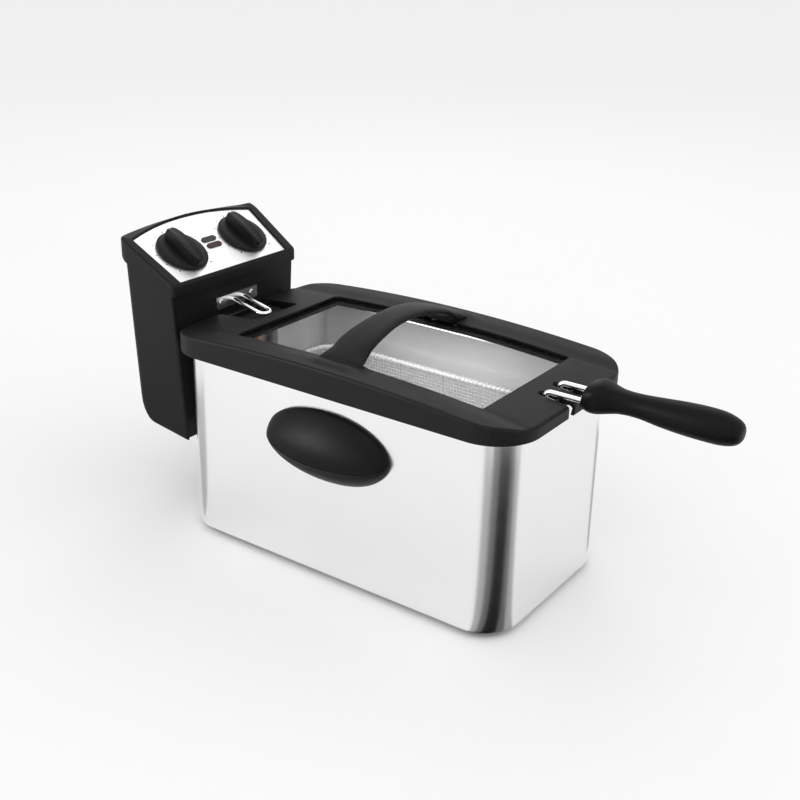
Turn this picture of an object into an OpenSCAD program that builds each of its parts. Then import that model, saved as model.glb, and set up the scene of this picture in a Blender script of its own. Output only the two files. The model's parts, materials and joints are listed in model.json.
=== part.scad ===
// Deep fryer with a lift-out oil pot, a control head that carries the heating
// element, a basket on a fixed grip and a lid with a viewing window.
// Lengths are millimetres, +Z is up and +X points to the basket grip. Z = 0 is the
// surface under the feet. X = 0 is half way between the grip's tip and the head's back.

/* [Housing] */
// Length of the steel housing
body_length = 330; // [300:1:360]
// Width of the steel housing
body_width = 177; // [165:1:190]
// Radius of the housing's upright corners
corner_radius = 33; // [25:1:40]
// Thickness of the steel sheet
sheet = 1; // [0.8:0.1:1.5]
// Height of the housing's top edge
housing_top = 174; // [170:0.5:176]
// Height of the rubber feet
foot_height = 5; // [3:0.5:8]
// Radius of a rubber foot
foot_radius = 9; // [6:0.5:12]
// Height of the side grips' centre
side_grip_z = 126; // [110:1:135]
// Length of a side grip
side_grip_length = 124; // [100:1:130]
// Height of a side grip
side_grip_height = 63; // [50:1:66]
// How far a side grip stands out
side_grip_depth = 23; // [16:1:28]

/* [Oil pot] */
// Gap between the housing's sheet and the pot
pot_gap = 5; // [4:0.5:8]
// Height of the pot's underside
pot_floor = 40; // [30:1:50]
// Thickness of the pot's rolled rim
rim_thickness = 2; // [1.5:0.1:3]

/* [Basket] */
// Length of the basket at its rim
basket_length = 267; // [250:1:268]
// Width of the basket at its rim
basket_width = 134; // [120:1:140]
// Height of the basket's rim wire
basket_rim_z = 141; // [130:1:150]
// Height of the basket's floor
basket_floor_z = 69; // [68:0.5:80]
// Diameter of the rim, frame and handle wires
wire = 4.4; // [3.5:0.1:5]
// Distance between the two handle wires
wire_spacing = 23; // [20:0.5:26]
// Height of the handle wires where they pass over the lid
wire_z = 186; // [185:0.5:190]
// Where the grip starts, from the housing's centre
grip_start = 181; // [181:0.5:190]
// Where the grip ends, from the housing's centre
grip_tip = 303; // [280:1:320]

/* [Lid] */
// How far the lid stands out past the housing
lid_overhang = 9.9; // [8:0.1:12]
// How much less the lid stands out at the back, so that it lifts past the head
lid_set_back = 2.9; // [2.9:0.1:4]
// Height of the lid skirt's lower edge
skirt_z = 170.5; // [168:0.5:172]
// Height of the crown of the lid
crown_z = 193.5; // [190:0.5:198]
// Radius of the lid's lengthwise crown
crown_radius = 1647; // [1200:1:2400]
// Where the crown is highest, from the housing's centre
crown_x = -13.6; // [-20:0.1:0]
// Wall thickness of the lid
lid_wall = 2.6; // [2:0.1:3.5]
// Front end of the window opening
window_front = 131; // [120:1:134]
// Rear end of the window opening
window_rear = -113; // [-118:1:-100]
// Half the width of the window opening
window_half = 68; // [60:0.5:69]
// How far the pane lies under the lid's top
pane_drop = 5; // [4:0.5:6]
// Thickness of the pane
pane_thickness = 2.5; // [2:0.1:3]
// Height of the handle arch's top
arch_top_z = 216.5; // [212:0.5:222]
// Height of the handle arch's underside
arch_under_z = 209; // [205:0.5:212]
// Width of the handle arch at its middle
arch_width = 27.5; // [24:0.5:34]

/* [Control head] */
// Front face of the head, from the housing's centre
head_front = -176.6; // [-180:0.1:-176.6]
// Back of the head's cover, from the housing's centre
head_back = -246; // [-252:0.1:-240]
// Slope of the control panel
panel_tilt = 30.8; // [25:0.1:35]
// Wall thickness of the head's mouldings
head_wall = 2.5; // [2:0.1:3.5]
// Distance of each knob from the middle of the panel
knob_y = 39; // [36:0.5:42]
// Distance of the knobs up the panel's slope
knob_s = 33; // [30:0.5:36]
// Radius of a knob's flange
knob_radius = 24; // [20:0.5:26]
// Radius of the heating element's tube
element_radius = 3.5; // [3:0.1:4]

/* [Hidden] */
$fn = 96;
fine = 1440;
gap = 0.15;
eps = 0.01;
far = 200;
half_l = body_length / 2;
half_w = body_width / 2;
shift_x = -(grip_tip + head_back) / 2;
rim_z = housing_top + rim_thickness;
pot_half_l = half_l - sheet - pot_gap;
pot_half_w = half_w - sheet - pot_gap;
pot_corner = corner_radius - sheet - pot_gap;
lid_x = lid_set_back / 2;
lid_half_l = half_l + lid_overhang - lid_x;
lid_half_w = half_w + lid_overhang;
lid_corner = corner_radius + lid_overhang - 4;
seat_half_l = pot_half_l + 4;
seat_half_w = pot_half_w + 4;
wire_y = wire_spacing / 2;
wire_r = wire / 2;
basket_front = 142;
basket_hl = basket_length / 2;
basket_hw = basket_width / 2;
basket_x = basket_front - basket_hl;
basket_corner = 26;
slot_width = 7.6;
slot_end = 146;
riser_x = 151;
notch_half = 28.6;
notch_end = -127.6;
neck_top = 180.5;
panel_x = head_front + 1.7;
panel_z = 220.4;
lip_slope = 24;
lip_z = 210.2;
head_floor = 72;
bow_radius = 460;
boss_x = [-98, -46, 36, 114];
boss_y = window_half + 8.8;
arch_x = 4;
element_z = 58;
element_x = -150;
run_outer = 50;
run_inner = 17;
leg_y = 20;

// Moves geometry drawn about the housing's centre into the frame of the whole object.
module placed() {
    translate([shift_x, 0, 0]) children();
}

// Rectangle with round corners, from half lengths.
module rounded(hl, hw, r) {
    square([2 * (hl - r), 2 * hw], center = true);
    square([2 * hl, 2 * (hw - r)], center = true);
    for (sx = [-1, 1], sy = [-1, 1])
        translate([sx * (hl - r), sy * (hw - r)]) circle(r);
}

// Upright block with round corners between two heights.
module block(hl, hw, r, z0, z1) {
    translate([0, 0, z0]) linear_extrude(z1 - z0) rounded(hl, hw, r);
}

// Upright open ring with round corners between two heights.
module ring(hl, hw, r, wall, z0, z1) {
    difference() {
        block(hl, hw, r, z0, z1);
        block(hl - wall, hw - wall, r - wall, z0 - 1, z1 + 1);
    }
}

// Rod along X from one place to another.
module rod_x(x0, x1, y, z, r) {
    translate([x0, y, z]) rotate([0, 90, 0]) cylinder(r = r, h = x1 - x0);
}

// Rod along Y from one place to another.
module rod_y(y0, y1, x, z, r) {
    translate([x, y0, z]) rotate([-90, 0, 0]) cylinder(r = r, h = y1 - y0);
}

// Rod along Z from one height to another.
module rod_z(z0, z1, x, y, r) {
    translate([x, y, z0]) cylinder(r = r, h = z1 - z0);
}

// Part of a round bend in the XY plane, about the origin.
module bend(radius, r, angle) {
    rotate_extrude(angle = angle) translate([radius, 0]) circle(r);
}

// Closed wire with round corners, lying level.
module wire_ring(hl, hw, corner, r) {
    for (s = [-1, 1]) {
        rod_x(-(hl - corner), hl - corner, s * hw, 0, r);
        rod_y(-(hw - corner), hw - corner, s * hl, 0, r);
    }
    for (q = [0:3])
        translate([(q == 0 || q == 3 ? 1 : -1) * (hl - corner), (q < 2 ? 1 : -1) * (hw - corner), 0])
            rotate([0, 0, 90 * q]) bend(corner, r, 90);
}

// ---- Housing ----

foot_spots = [for (sx = [-1, 1], sy = [-1, 1]) [sx * (half_l - 27), sy * (half_w - 27)]];
base_spots = [for (sx = [-1, 1], sy = [-1, 1]) [sx * 60, sy * (half_w - 8)]];
base_top = foot_height + sheet + 2.5;

// Steel sheet wrapped round the housing, with a return flange at the bottom.
module outer_shell() {
    color([0.78, 0.79, 0.8]) placed() difference() {
        union() {
            ring(half_l, half_w, corner_radius, sheet, foot_height, housing_top);
            ring(half_l - sheet / 2, half_w - sheet / 2, corner_radius - sheet / 2, 14,
                foot_height, foot_height + sheet);
        }
        for (p = foot_spots) rod_z(0, 20, p[0], p[1], 3);
        for (p = base_spots) rod_z(0, 20, p[0], p[1], 2.1);
        for (sx = [-1, 1], sy = [-1, 1])
            translate([sx * 34, sy * half_w, side_grip_z]) rotate([90, 0, 0])
                cylinder(r = 2.2, h = 10, center = true);
        for (sz = [-1, 1]) rod_x(-half_l - 5, -half_l + 5, 0, 122 + 34 * sz, 2.2);
    }
}

// Plastic plate that closes the housing from below, inside the sheet.
module base_plate() {
    color([0.07, 0.07, 0.075]) placed() difference() {
        block(half_l - sheet - 0.4, half_w - sheet - 0.4, corner_radius - sheet - 0.4,
            foot_height + sheet, base_top + 10);
        block(half_l - 4, half_w - 4, corner_radius - 4, base_top, base_top + 20);
        for (p = foot_spots) rod_z(0, 30, p[0], p[1], 3);
        for (p = base_spots) rod_z(0, 30, p[0], p[1], 1.6);
        for (i = [-3:3]) translate([i * 22, 0, 0]) cube([5, 60, 60], center = true);
    }
}

// Screws that hold the base plate to the sheet's flange.
module base_screws() {
    color([0.5, 0.5, 0.52]) placed() for (p = base_spots) {
        rod_z(foot_height - 2, foot_height, p[0], p[1], 3.4);
        rod_z(foot_height - eps, base_top + 3, p[0], p[1], 1.5);
    }
}

// Four rubber feet, each with a stem through the flange and the base plate.
module feet() {
    color([0.05, 0.05, 0.05]) placed() for (p = foot_spots) {
        rod_z(0, foot_height, p[0], p[1], foot_radius);
        rod_z(foot_height - eps, base_top + 3, p[0], p[1], 2.85);
    }
}

// Oval outline of a side grip.
module grip_oval(length, height) {
    polygon([for (i = [0:95]) [length / 2 * cos(i * 3.75), height / 2 * sin(i * 3.75)]]);
}

// Domed oval grip on a long side, hollowed under its ridge for the fingers.
module side_grip(side) {
    dome = (side_grip_length * side_grip_length / 4 + 18 * 18) / 36;
    swell = (side_grip_height * side_grip_height / 4 + 14 * 14) / 28;
    color([0.04, 0.04, 0.045]) placed() difference() {
        intersection() {
            translate([0, side * half_w, side_grip_z]) rotate([side * -90, 0, 0])
                linear_extrude(side_grip_depth) grip_oval(side_grip_length, side_grip_height);
            translate([0, side * (half_w + side_grip_depth - dome - 3), 0])
                cylinder(r = dome + 3, h = 400, $fn = 360);
            translate([0, side * (half_w + side_grip_depth - swell - 4), side_grip_z - 9])
                rotate([0, 90, 0]) cylinder(r = swell + 4, h = 400, center = true, $fn = 360);
        }
        translate([0, side * (half_w + 4), side_grip_z - side_grip_height / 2 - 2])
            rotate([0, 90, 0]) cylinder(r = 11, h = 62, center = true);
        for (sx = [-1, 1]) translate([sx * 34, side * (half_w - 1), side_grip_z])
            rotate([side * -90, 0, 0]) cylinder(r = 1.75, h = 12);
    }
}

module side_grip_right() { side_grip(-1); }
module side_grip_left() { side_grip(1); }

// Screws that hold both side grips from inside the sheet.
module side_grip_screws() {
    color([0.5, 0.5, 0.52]) placed() for (sx = [-1, 1], sy = [-1, 1])
        translate([sx * 34, sy * (half_w - sheet), side_grip_z]) rotate([sy * -90, 0, 0]) {
            translate([0, 0, -2]) cylinder(r = 3.6, h = 2);
            translate([0, 0, -eps]) cylinder(r = 1.65, h = 10);
        }
}

// Plastic guide on the housing's back: two ribs that the control head slides down on.
module rear_guide() {
    color([0.05, 0.05, 0.055]) placed() difference() {
        union() {
            translate([-half_l - 3, -50, 84]) cube([3, 100, 82]);
            for (s = [-1, 1]) translate([-half_l - 10, s * 34 - 5, 84]) cube([8, 10, 82]);
        }
        for (sz = [-1, 1]) rod_x(-half_l - 5, -half_l + 5, 0, 122 + 34 * sz, 1.65);
    }
}

// Screws that hold the guide from inside the sheet.
module rear_guide_screws() {
    color([0.5, 0.5, 0.52]) placed() for (sz = [-1, 1]) {
        rod_x(-half_l + sheet, -half_l + sheet + 2, 0, 122 + 34 * sz, 3.6);
        rod_x(-half_l - 2.5, -half_l + sheet + eps, 0, 122 + 34 * sz, 1.55);
    }
}

// ---- Oil pot ----

// Deep pot with a rolled rim that lies on the housing's top edge.
module oil_pot() {
    color([0.72, 0.72, 0.73]) placed() difference() {
        union() {
            block(pot_half_l, pot_half_w, pot_corner, pot_floor, rim_z);
            block(half_l + 1.4, half_w + 1.4, corner_radius + 1.4, housing_top, rim_z);
        }
        block(pot_half_l - sheet, pot_half_w - sheet, pot_corner - sheet, pot_floor + sheet, rim_z + 1);
    }
}

// ---- Control head ----

// Height of the cover's lower edge at a place along X.
function lip_at(x) = lip_z + (panel_x + 1.3 - x) * tan(lip_slope);

// Side outline of the head, from its floor to the line where the cover begins.
module head_side(t) {
    polygon([[head_front + (t > 0 ? 12 : 0), head_floor + t], [head_back + 14.4, head_floor + 8 + t],
        [head_back + 7.4 + t / 2, head_floor + 15 + t / 2], [head_back - 2.6 + t, head_floor + 32],
        [head_back - 16.6 + t, lip_at(head_back - 16.6 + t)],
        [head_front + (t > 0 ? 12 : 0), lip_at(head_front + (t > 0 ? 12 : 0))]]);
}

// Half outline of the head seen from the front, narrower towards its floor.
module head_face(t) {
    polygon([for (s = [-1, 1]) each s < 0
        ? [[-70.5 + t, head_floor], [-79.5 + t, 215], [-79.5 + t, 300]]
        : [[79.5 - t, 300], [79.5 - t, 215], [70.5 - t, head_floor]]]);
}

// Solid form of the case, with its walls moved in by t.
module head_form(t) {
    intersection() {
        rotate([90, 0, 0]) translate([0, 0, -far]) linear_extrude(2 * far) head_side(t);
        rotate([90, 0, 90]) translate([0, 0, -2 * far]) linear_extrude(2 * far) head_face(t);
        translate([head_back + 3.4 + bow_radius, 0, 0]) cylinder(r = bow_radius - t, h = 400, $fn = fine);
        translate([head_front - 100 + (t > 0 ? 12 : 0), -far, 0]) cube([100, 2 * far, 400]);
    }
}

case_spots = [for (sy = [-1, 1], z = [92, 180]) [sy * 62, z]];
gland_z = 108;
reset_z = 140;

// Rear shell of the control head, open at the front and at the top.
module control_case() {
    color([0.04, 0.04, 0.045]) placed() difference() {
        union() {
            difference() {
                head_form(0);
                head_form(head_wall);
            }
            for (p = case_spots) rod_x(head_front - 22, head_front - 3, p[0], p[1], 4.5);
            for (p = case_spots)
                translate([head_front - 22, min(p[0], sign(p[0]) * 76), p[1] - 1.5])
                    intersection() {
                        cube([19, abs(sign(p[0]) * 76 - p[0]), 3]);
                        translate([-head_front + 22, -min(p[0], sign(p[0]) * 76), -p[1] + 1.5]) head_form(1);
                    }
        }
        for (p = case_spots) rod_x(head_front - 18, head_front + 1, p[0], p[1], 1.6);
        rod_x(head_back - 1, head_back + 9, 0, gland_z, 8.2);
        rod_x(head_back - 1, head_back + 9, 0, reset_z, 4.3);
    }
}

// Front cover of the head, with the runners for the guide and the neck over the pot's rim.
module case_front() {
    color([0.045, 0.045, 0.05]) placed() difference() {
        union() {
            intersection() {
                head_form(head_wall + gap);
                translate([head_front - 3, -far, head_floor]) cube([3, 2 * far, far]);
            }
            for (s = [-1, 1], e = [-1, 1])
                translate([head_front - 1, s * 34 + e * 7 - 1.5, 86]) cube([7.5, 3, 76]);
            neck_block();
        }
        for (p = case_spots) rod_x(head_front - 5, head_front + 1, p[0], p[1], 1.8);
        for (sy = [-1, 1]) rod_x(head_front - 5, head_front + 2, sy * 20, 191.5, 1.7);
        rod_x(head_front - 5, head_front + 1, 0, 104, 3.05);
        for (sy = [-1, 1]) rod_z(170, neck_top - 1.2, element_x, sy * leg_y, element_radius + 0.3);
        rod_z(170, neck_top - 1.2, element_x, 0, 3.3);
    }
}

// Neck that bridges the rim and covers the lid's rear notch.
module neck_block() {
    difference() {
        translate([head_front - 1, -notch_half + 1, rim_z])
            cube([notch_end - head_front - 0.4, 2 * (notch_half - 1), neck_top - rim_z]);
        translate([head_front - 4, -16, rim_z + 1.5]) cube([14, 32, 1.6]);
    }
}

// Screws that hold the front cover to the case.
module case_screws() {
    color([0.2, 0.2, 0.21]) placed() for (p = case_spots) {
        rod_x(head_front, head_front + 0.8, p[0], p[1], 3.2);
        rod_x(head_front - 16, head_front + eps, p[0], p[1], 1.5);
    }
}

// Places geometry on the sloping panel: s up the slope, y across, n out of it.
module on_panel(s, y, n) {
    translate([panel_x, 0, panel_z]) rotate([0, panel_tilt, 0]) translate([-s, y, n]) children();
}

// Outline of the panel in its own plane, bowed at the back, with its edge moved in by t.
module panel_outline(t) {
    intersection() {
        polygon([[-t, -69 + t], [-t, 69 - t], [-80, 76 - t], [-80, -76 + t]]);
        translate([-71 + t + 330, 0]) circle(330, $fn = fine);
    }
}

// Sloping cover of the head: a raised frame, the deck under the panel and a lip.
module control_cover() {
    frame_rise = 1.2;
    color([0.045, 0.045, 0.05]) placed() difference() {
        intersection() {
            rotate([90, 0, 0]) translate([0, 0, -far]) linear_extrude(2 * far)
                polygon([[panel_x + 1.3, lip_z], [panel_x + 2.2, lip_z + 7.3],
                    [panel_x + 1.3, panel_z + frame_rise],
                    [panel_x - 62.3, panel_z + frame_rise + 63.6 * tan(panel_tilt)],
                    [panel_x - 82, panel_z + frame_rise - 4 + 63.6 * tan(panel_tilt)],
                    [panel_x - 82, lip_at(panel_x - 82)]]);
            translate([0, 0, 100]) linear_extrude(300)
                polygon([[-170, -79.6], [-170, 79.6], [-237, 86], [-260, 86], [-260, -86], [-237, -86]]);
            translate([head_back + bow_radius, 0, 0]) cylinder(r = bow_radius, h = 400, $fn = fine);
        }
        on_panel(0, 0, -1.2) linear_extrude(20) panel_outline(0);
        intersection() {
            on_panel(0, 0, -54.2) translate([-90, -72, 0]) cube([88, 144, 50]);
            translate([head_front - 100, -72, 0]) cube([97, 144, 400]);
            translate([head_back + 6 + bow_radius, 0, 0]) cylinder(r = bow_radius, h = 400, $fn = fine);
        }
        for (sy = [-1, 1]) on_panel(knob_s, sy * knob_y, -10) cylinder(r = 5.2, h = 20);
        for (s = [31, 39]) on_panel(s, 0, -10) linear_extrude(20) lamp_outline(gap);
    }
}

// Stadium outline of a lamp lens.
module lamp_outline(t) {
    square([5.5 + 2 * t, 12], center = true);
    for (s = [-1, 1]) translate([0, s * 6]) circle(2.75 + t);
}

// Bright panel plate let into the cover.
module control_panel() {
    color([0.8, 0.81, 0.82]) placed() difference() {
        on_panel(0, 0, -1.15) linear_extrude(1.15) panel_outline(0.2);
        for (sy = [-1, 1]) on_panel(knob_s, sy * knob_y, -10) cylinder(r = 5.4, h = 20);
        for (s = [31, 39]) on_panel(s, 0, -10) linear_extrude(20) lamp_outline(gap);
    }
}

module lamp(s) {
    on_panel(s, 0, -9) linear_extrude(10) lamp_outline(0);
}

// Lens and body of the mains lamp.
module power_lamp() {
    color([0.12, 0.02, 0.02]) placed() lamp(31);
}

// Lens and body of the temperature lamp.
module ready_lamp() {
    color([0.02, 0.1, 0.03]) placed() lamp(39);
}

// Thermostat body with the bush that its spindle turns in.
module thermostat() {
    color([0.75, 0.72, 0.62]) placed() on_panel(knob_s, -knob_y, 0) difference() {
        union() {
            translate([-15, -17, -24]) cube([30, 34, 19.8]);
            translate([0, 0, -5]) cylinder(r = 5, h = 5);
        }
        translate([0, 0, -14]) cylinder(r = 3.05, h = 20);
    }
}

// Clockwork timer with the bush that its spindle turns in.
module timer() {
    color([0.7, 0.7, 0.72]) placed() on_panel(knob_s, knob_y, 0) difference() {
        union() {
            translate([0, 0, -23]) cylinder(r = 17, h = 18.8);
            translate([0, 0, -5]) cylinder(r = 5, h = 5);
        }
        translate([0, 0, -14]) cylinder(r = 3.05, h = 20);
    }
}

// Spindle of a control, from inside its body to inside its knob.
module spindle() {
    translate([0, 0, -13]) cylinder(r = 3, h = 23);
}

// Knob with a flat flange and a raised bar for the fingers, along the slope at rest.
module knob() {
    difference() {
        union() {
            translate([0, 0, 0.7]) cylinder(r = knob_radius, h = 2.2);
            translate([0, 0, 2.9]) cylinder(r1 = knob_radius, r2 = knob_radius - 3, h = 1.4);
            intersection() {
                translate([-knob_radius, -6, 4.2]) cube([2 * knob_radius, 12, 9.3]);
                translate([0, 0, 4.2]) cylinder(r1 = knob_radius - 0.5, r2 = knob_radius - 3, h = 9.3);
                translate([0, 0, 13.5 - 90]) rotate([90, 0, 0]) cylinder(r = 90, h = 40, center = true, $fn = 360);
            }
        }
        translate([0, 0, -1]) cylinder(r = 3.05, h = 11.2);
    }
}

module temperature_knob() {
    color([0.05, 0.05, 0.055]) placed() on_panel(knob_s, -knob_y, 0) knob();
}

module thermostat_spindle() {
    color([0.7, 0.7, 0.72]) placed() on_panel(knob_s, -knob_y, 0) spindle();
}

module timer_knob() {
    color([0.05, 0.05, 0.055]) placed() on_panel(knob_s, knob_y, 0) knob();
}

module timer_spindle() {
    color([0.7, 0.7, 0.72]) placed() on_panel(knob_s, knob_y, 0) spindle();
}

// Terminal block on the floor of the head.
module terminal_block() {
    color([0.85, 0.85, 0.82]) placed() difference() {
        translate([head_front - 40, 24, 86]) cube([18, 34, 14]);
        for (i = [0:2]) rod_x(head_front - 45, head_front - 10, 31 + 10 * i, 93, 2.4);
    }
}

// Safety cut-out behind the reset button.
module thermal_cutout() {
    color([0.15, 0.15, 0.16]) placed() difference() {
        translate([head_back + 12, -9, reset_z - 9]) cube([14, 18, 18]);
        rod_x(head_back + 11, head_back + 20, 0, reset_z, 4.3);
    }
}

// Reset button in the back of the head.
module reset_button() {
    color([0.5, 0.05, 0.04]) placed() rod_x(head_back + 3, head_back + 16, 0, reset_z, 4);
}

// Switch that cuts the power when the head is lifted off.
module interlock_switch() {
    color([0.12, 0.12, 0.13]) placed() difference() {
        translate([head_front - 20, -6, 94]) cube([14, 12, 20]);
        rod_x(head_front - 16, head_front - 1, 0, 104, 3.05);
    }
}

// Sprung pin of the interlock, which faces the guide.
module interlock_plunger() {
    color([0.6, 0.6, 0.62]) placed() rod_x(head_front - 12, head_front + 7.5, 0, 104, 2.95);
}

// Gland for the mains lead in the back of the head.
module inlet_gland() {
    color([0.05, 0.05, 0.05]) placed() difference() {
        union() {
            rod_x(head_back + 0.9, head_back + 3, 0, gland_z, 10);
            rod_x(head_back + 3 - eps, head_back + 12, 0, gland_z, 8);
            rod_x(head_back + 6.4, head_back + 9.4, 0, gland_z, 10);
        }
        rod_x(head_back - 1, head_back + 14, 0, gland_z, 3.6);
    }
}

hook_z = 191.5;
hook_tilt = 13;
hook_reach = 32;
hook_half = 6.5;

// Steel plate of the drain hook, on the front of the head.
module hook_plate() {
    color([0.75, 0.75, 0.76]) placed() difference() {
        translate([head_front, -26.7, 186]) cube([1.4, 53.4, 11]);
        for (sy = [-1, 1]) rod_x(head_front - 1, head_front + 3, sy * 20, hook_z, 1.7);
        for (sy = [-1, 1]) rod_x(head_front - 1, head_front + 3, sy * hook_half, hook_z, wire_r);
    }
}

// Wire loop that the basket's rim hangs on to drain.
module drain_hook() {
    color([0.8, 0.8, 0.81]) placed() translate([head_front + 0.2, 0, hook_z]) {
        for (s = [-1, 1]) rod_x(0, 4, s * hook_half, 0, wire_r - 0.02);
        translate([4, 0, 0]) rotate([0, hook_tilt, 0]) {
            for (s = [-1, 1]) {
                rod_x(0, hook_reach - 4, s * hook_half, 0, wire_r);
                translate([0, s * hook_half, 0]) sphere(wire_r);
            }
            translate([hook_reach - 4, 0, 0]) rotate([0, 0, -90]) bend(hook_half, wire_r, 180);
        }
    }
}

// Two rivets that hold the hook's plate.
module hook_rivets() {
    color([0.7, 0.7, 0.71]) placed() for (sy = [-1, 1]) {
        rod_x(head_front - 3.8, head_front + 1.4 + eps, sy * 20, hook_z, 1.6);
        rod_x(head_front + 1.4, head_front + 2.4, sy * 20, hook_z, 3);
        rod_x(head_front - 4.4, head_front - 3, sy * 20, hook_z, 2.8);
    }
}

// One half of the heating element's run, on the side given by its sign.
module element_half(side) {
    turn = 12;
    mid = (run_outer - run_inner) / 2;
    mirror([0, side < 0 ? 1 : 0, 0]) {
        rod_z(element_z + turn, neck_top - 1.5, element_x, leg_y, element_radius);
        translate([element_x, leg_y + turn, element_z + turn]) rotate([90, 0, 90]) rotate([0, 0, 180])
            bend(turn, element_radius, 90);
        rod_y(leg_y + turn, run_outer - turn, element_x, element_z, element_radius);
        translate([element_x + turn, run_outer - turn, element_z]) rotate([0, 0, 90])
            bend(turn, element_radius, 90);
        rod_x(element_x + turn, 112, run_outer, element_z, element_radius);
        translate([112, run_inner + mid, element_z]) rotate([0, 0, -90]) bend(mid, element_radius, 180);
        rod_x(-104, 112, run_inner, element_z, element_radius);
    }
}

// Tubular heating element that lies over the pot's floor.
module heating_element() {
    color([0.35, 0.33, 0.32]) placed() {
        element_half(1);
        element_half(-1);
        translate([-104, 0, element_z]) rotate([0, 0, 90]) bend(run_inner, element_radius, 180);
    }
}

// Steel strip that hangs from the neck and carries the element's legs.
module element_bracket() {
    color([0.7, 0.7, 0.71]) placed() difference() {
        union() {
            translate([element_x - 5.6, -32, 64]) cube([1.2, 64, rim_z - 64]);
            translate([element_x - 5.6, -26, rim_z - 1.2]) cube([20, 52, 1.2]);
        }
        for (sy = [-1, 1]) rod_z(150, 190, element_x, sy * leg_y, element_radius + 0.3);
        rod_z(150, 190, element_x, 0, 3.3);
    }
}

// Steel straps that hold the parallel runs of the element apart.
module element_clamps() {
    color([0.7, 0.7, 0.71]) placed() for (x = [-60, 70]) difference() {
        translate([x - 5, -run_outer - 6, element_z - 4.9]) cube([10, 2 * run_outer + 12, 9.4]);
        for (y = [-run_outer, -run_inner, run_inner, run_outer])
            rod_x(x - 8, x + 8, y, element_z, element_radius + 0.1);
        for (y = [-(run_outer + run_inner) / 2, 0, (run_outer + run_inner) / 2])
            translate([x - 8, y - 10, element_z - 3.7]) cube([16, 20, 9]);
    }
}

// Sensing bulb of the thermostat, upright beside the element's legs.
module thermostat_bulb() {
    color([0.7, 0.45, 0.3]) placed() {
        rod_z(84, 164, element_x, 0, 3);
        rod_z(164 - eps, neck_top - 1.5, element_x, 0, 1.2);
    }
}

// ---- Basket ----

// Open basket of fine mesh, drawn as a thin closed sheet.
module basket_mesh() {
    color([0.7, 0.7, 0.72]) placed() translate([basket_x, 0, 0]) difference() {
        block(basket_hl - 1, basket_hw - 1, basket_corner - 1, basket_floor_z, basket_rim_z - wire_r);
        block(basket_hl - 2.2, basket_hw - 2.2, basket_corner - 2.2, basket_floor_z + 1.2, basket_rim_z);
    }
}

// Thick wire round the basket's rim.
module basket_rim() {
    color([0.75, 0.75, 0.77]) placed() translate([basket_x, 0, basket_rim_z])
        wire_ring(basket_hl - 1.6, basket_hw - 1.6, basket_corner, wire_r);
}

// Support wires under and outside the mesh.
module basket_frame() {
    r = 1.6;
    turn = 1.9;
    color([0.72, 0.72, 0.74]) placed() for (x = [basket_x - 80, basket_x, basket_x + 80]) {
        under = basket_floor_z - r - 0.1;
        side = basket_hw - 1 + r + 0.1;
        rod_y(-(side - turn), side - turn, x, under, r);
        for (s = [-1, 1]) {
            rod_z(under + turn, basket_rim_z - wire_r - 0.4, x, s * side, r);
            translate([x, s * (side - turn), under + turn]) rotate([90, 0, 90])
                rotate([0, 0, s > 0 ? -90 : 180]) bend(turn, r, 90);
        }
    }
}

// Bracket on the basket's front that holds the handle wires.
module handle_bracket() {
    color([0.72, 0.72, 0.74]) placed() difference() {
        translate([basket_front - 0.9, -wire_y - 6, 98]) cube([riser_x - basket_front + 3.8, 2 * wire_y + 12, 34]);
        translate([basket_front + 0.5, -wire_y + 4, 90]) cube([20, 2 * wire_y - 8, 50]);
        for (s = [-1, 1]) rod_z(90, 140, riser_x, s * wire_y, wire_r + 0.05);
    }
}

// Two wires that rise past the lid's edge and run level into the grip.
module handle_wires() {
    turn = 6;
    color([0.8, 0.8, 0.82]) placed() for (s = [-1, 1]) {
        rod_z(96, wire_z - turn, riser_x, s * wire_y, wire_r);
        translate([riser_x + turn, s * wire_y, wire_z - turn]) rotate([90, 0, 0]) rotate([0, 0, 90])
            bend(turn, wire_r, 90);
        rod_x(riser_x + turn, grip_start + 13, s * wire_y, wire_z, wire_r);
    }
}

// Moulded grip with a wide collar, a slim neck and a swelling end.
module handle_grip() {
    axis_z = wire_z + 2.5;
    color([0.045, 0.045, 0.05]) placed() difference() {
        union() {
            hull() {
                translate([grip_start, 0, axis_z]) rotate([90, 0, 90]) linear_extrude(6) rounded(14.5, 11.6, 9);
                translate([grip_start + 3, 0, axis_z]) rotate([90, 0, 90]) linear_extrude(8) rounded(15.5, 12.6, 10);
                rod_x(grip_start + 32, grip_start + 33, 0, axis_z, 9.4);
            }
            translate([0, 0, axis_z]) rotate([0, 90, 0]) rotate_extrude() intersection() {
                translate([0, grip_start + 32]) square([20, grip_tip - grip_start - 32]);
                union() {
                    difference() {
                        translate([0, grip_start + 32]) square([12.6, 52]);
                        translate([149.4, grip_start + 32]) circle(140, $fn = 720);
                        translate([12.6, 0]) square([200, 400]);
                    }
                    translate([0, grip_start + 83]) square([12.6, 20]);
                    translate([0, grip_tip - 24]) intersection() {
                        translate([-16, 0]) circle(29.2);
                        square([12.6, 24]);
                    }
                }
            }
        }
        for (s = [-1, 1]) rod_x(grip_start - 1, grip_start + 13.5, s * wire_y, wire_z, wire_r + 0.1);
    }
}

// ---- Lid ----

// Everything under the lid's crowned top, lowered by drop.
module crown(drop) {
    translate([crown_x, 0, crown_z - crown_radius]) rotate([90, 0, 0])
        cylinder(r = crown_radius - drop, h = 2 * far, center = true, $fn = fine);
}

// How far the crown has fallen at a place along X.
function crown_fall(x) = (x - crown_x) * (x - crown_x) / (2 * crown_radius);

// Upright block of the lid's outline under the crown.
module lid_block(inset, drop, z0) {
    intersection() {
        translate([lid_x, 0, 0])
            block(lid_half_l - inset, lid_half_w - inset, lid_corner - inset, z0, 230);
        crown(drop);
    }
}

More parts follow.
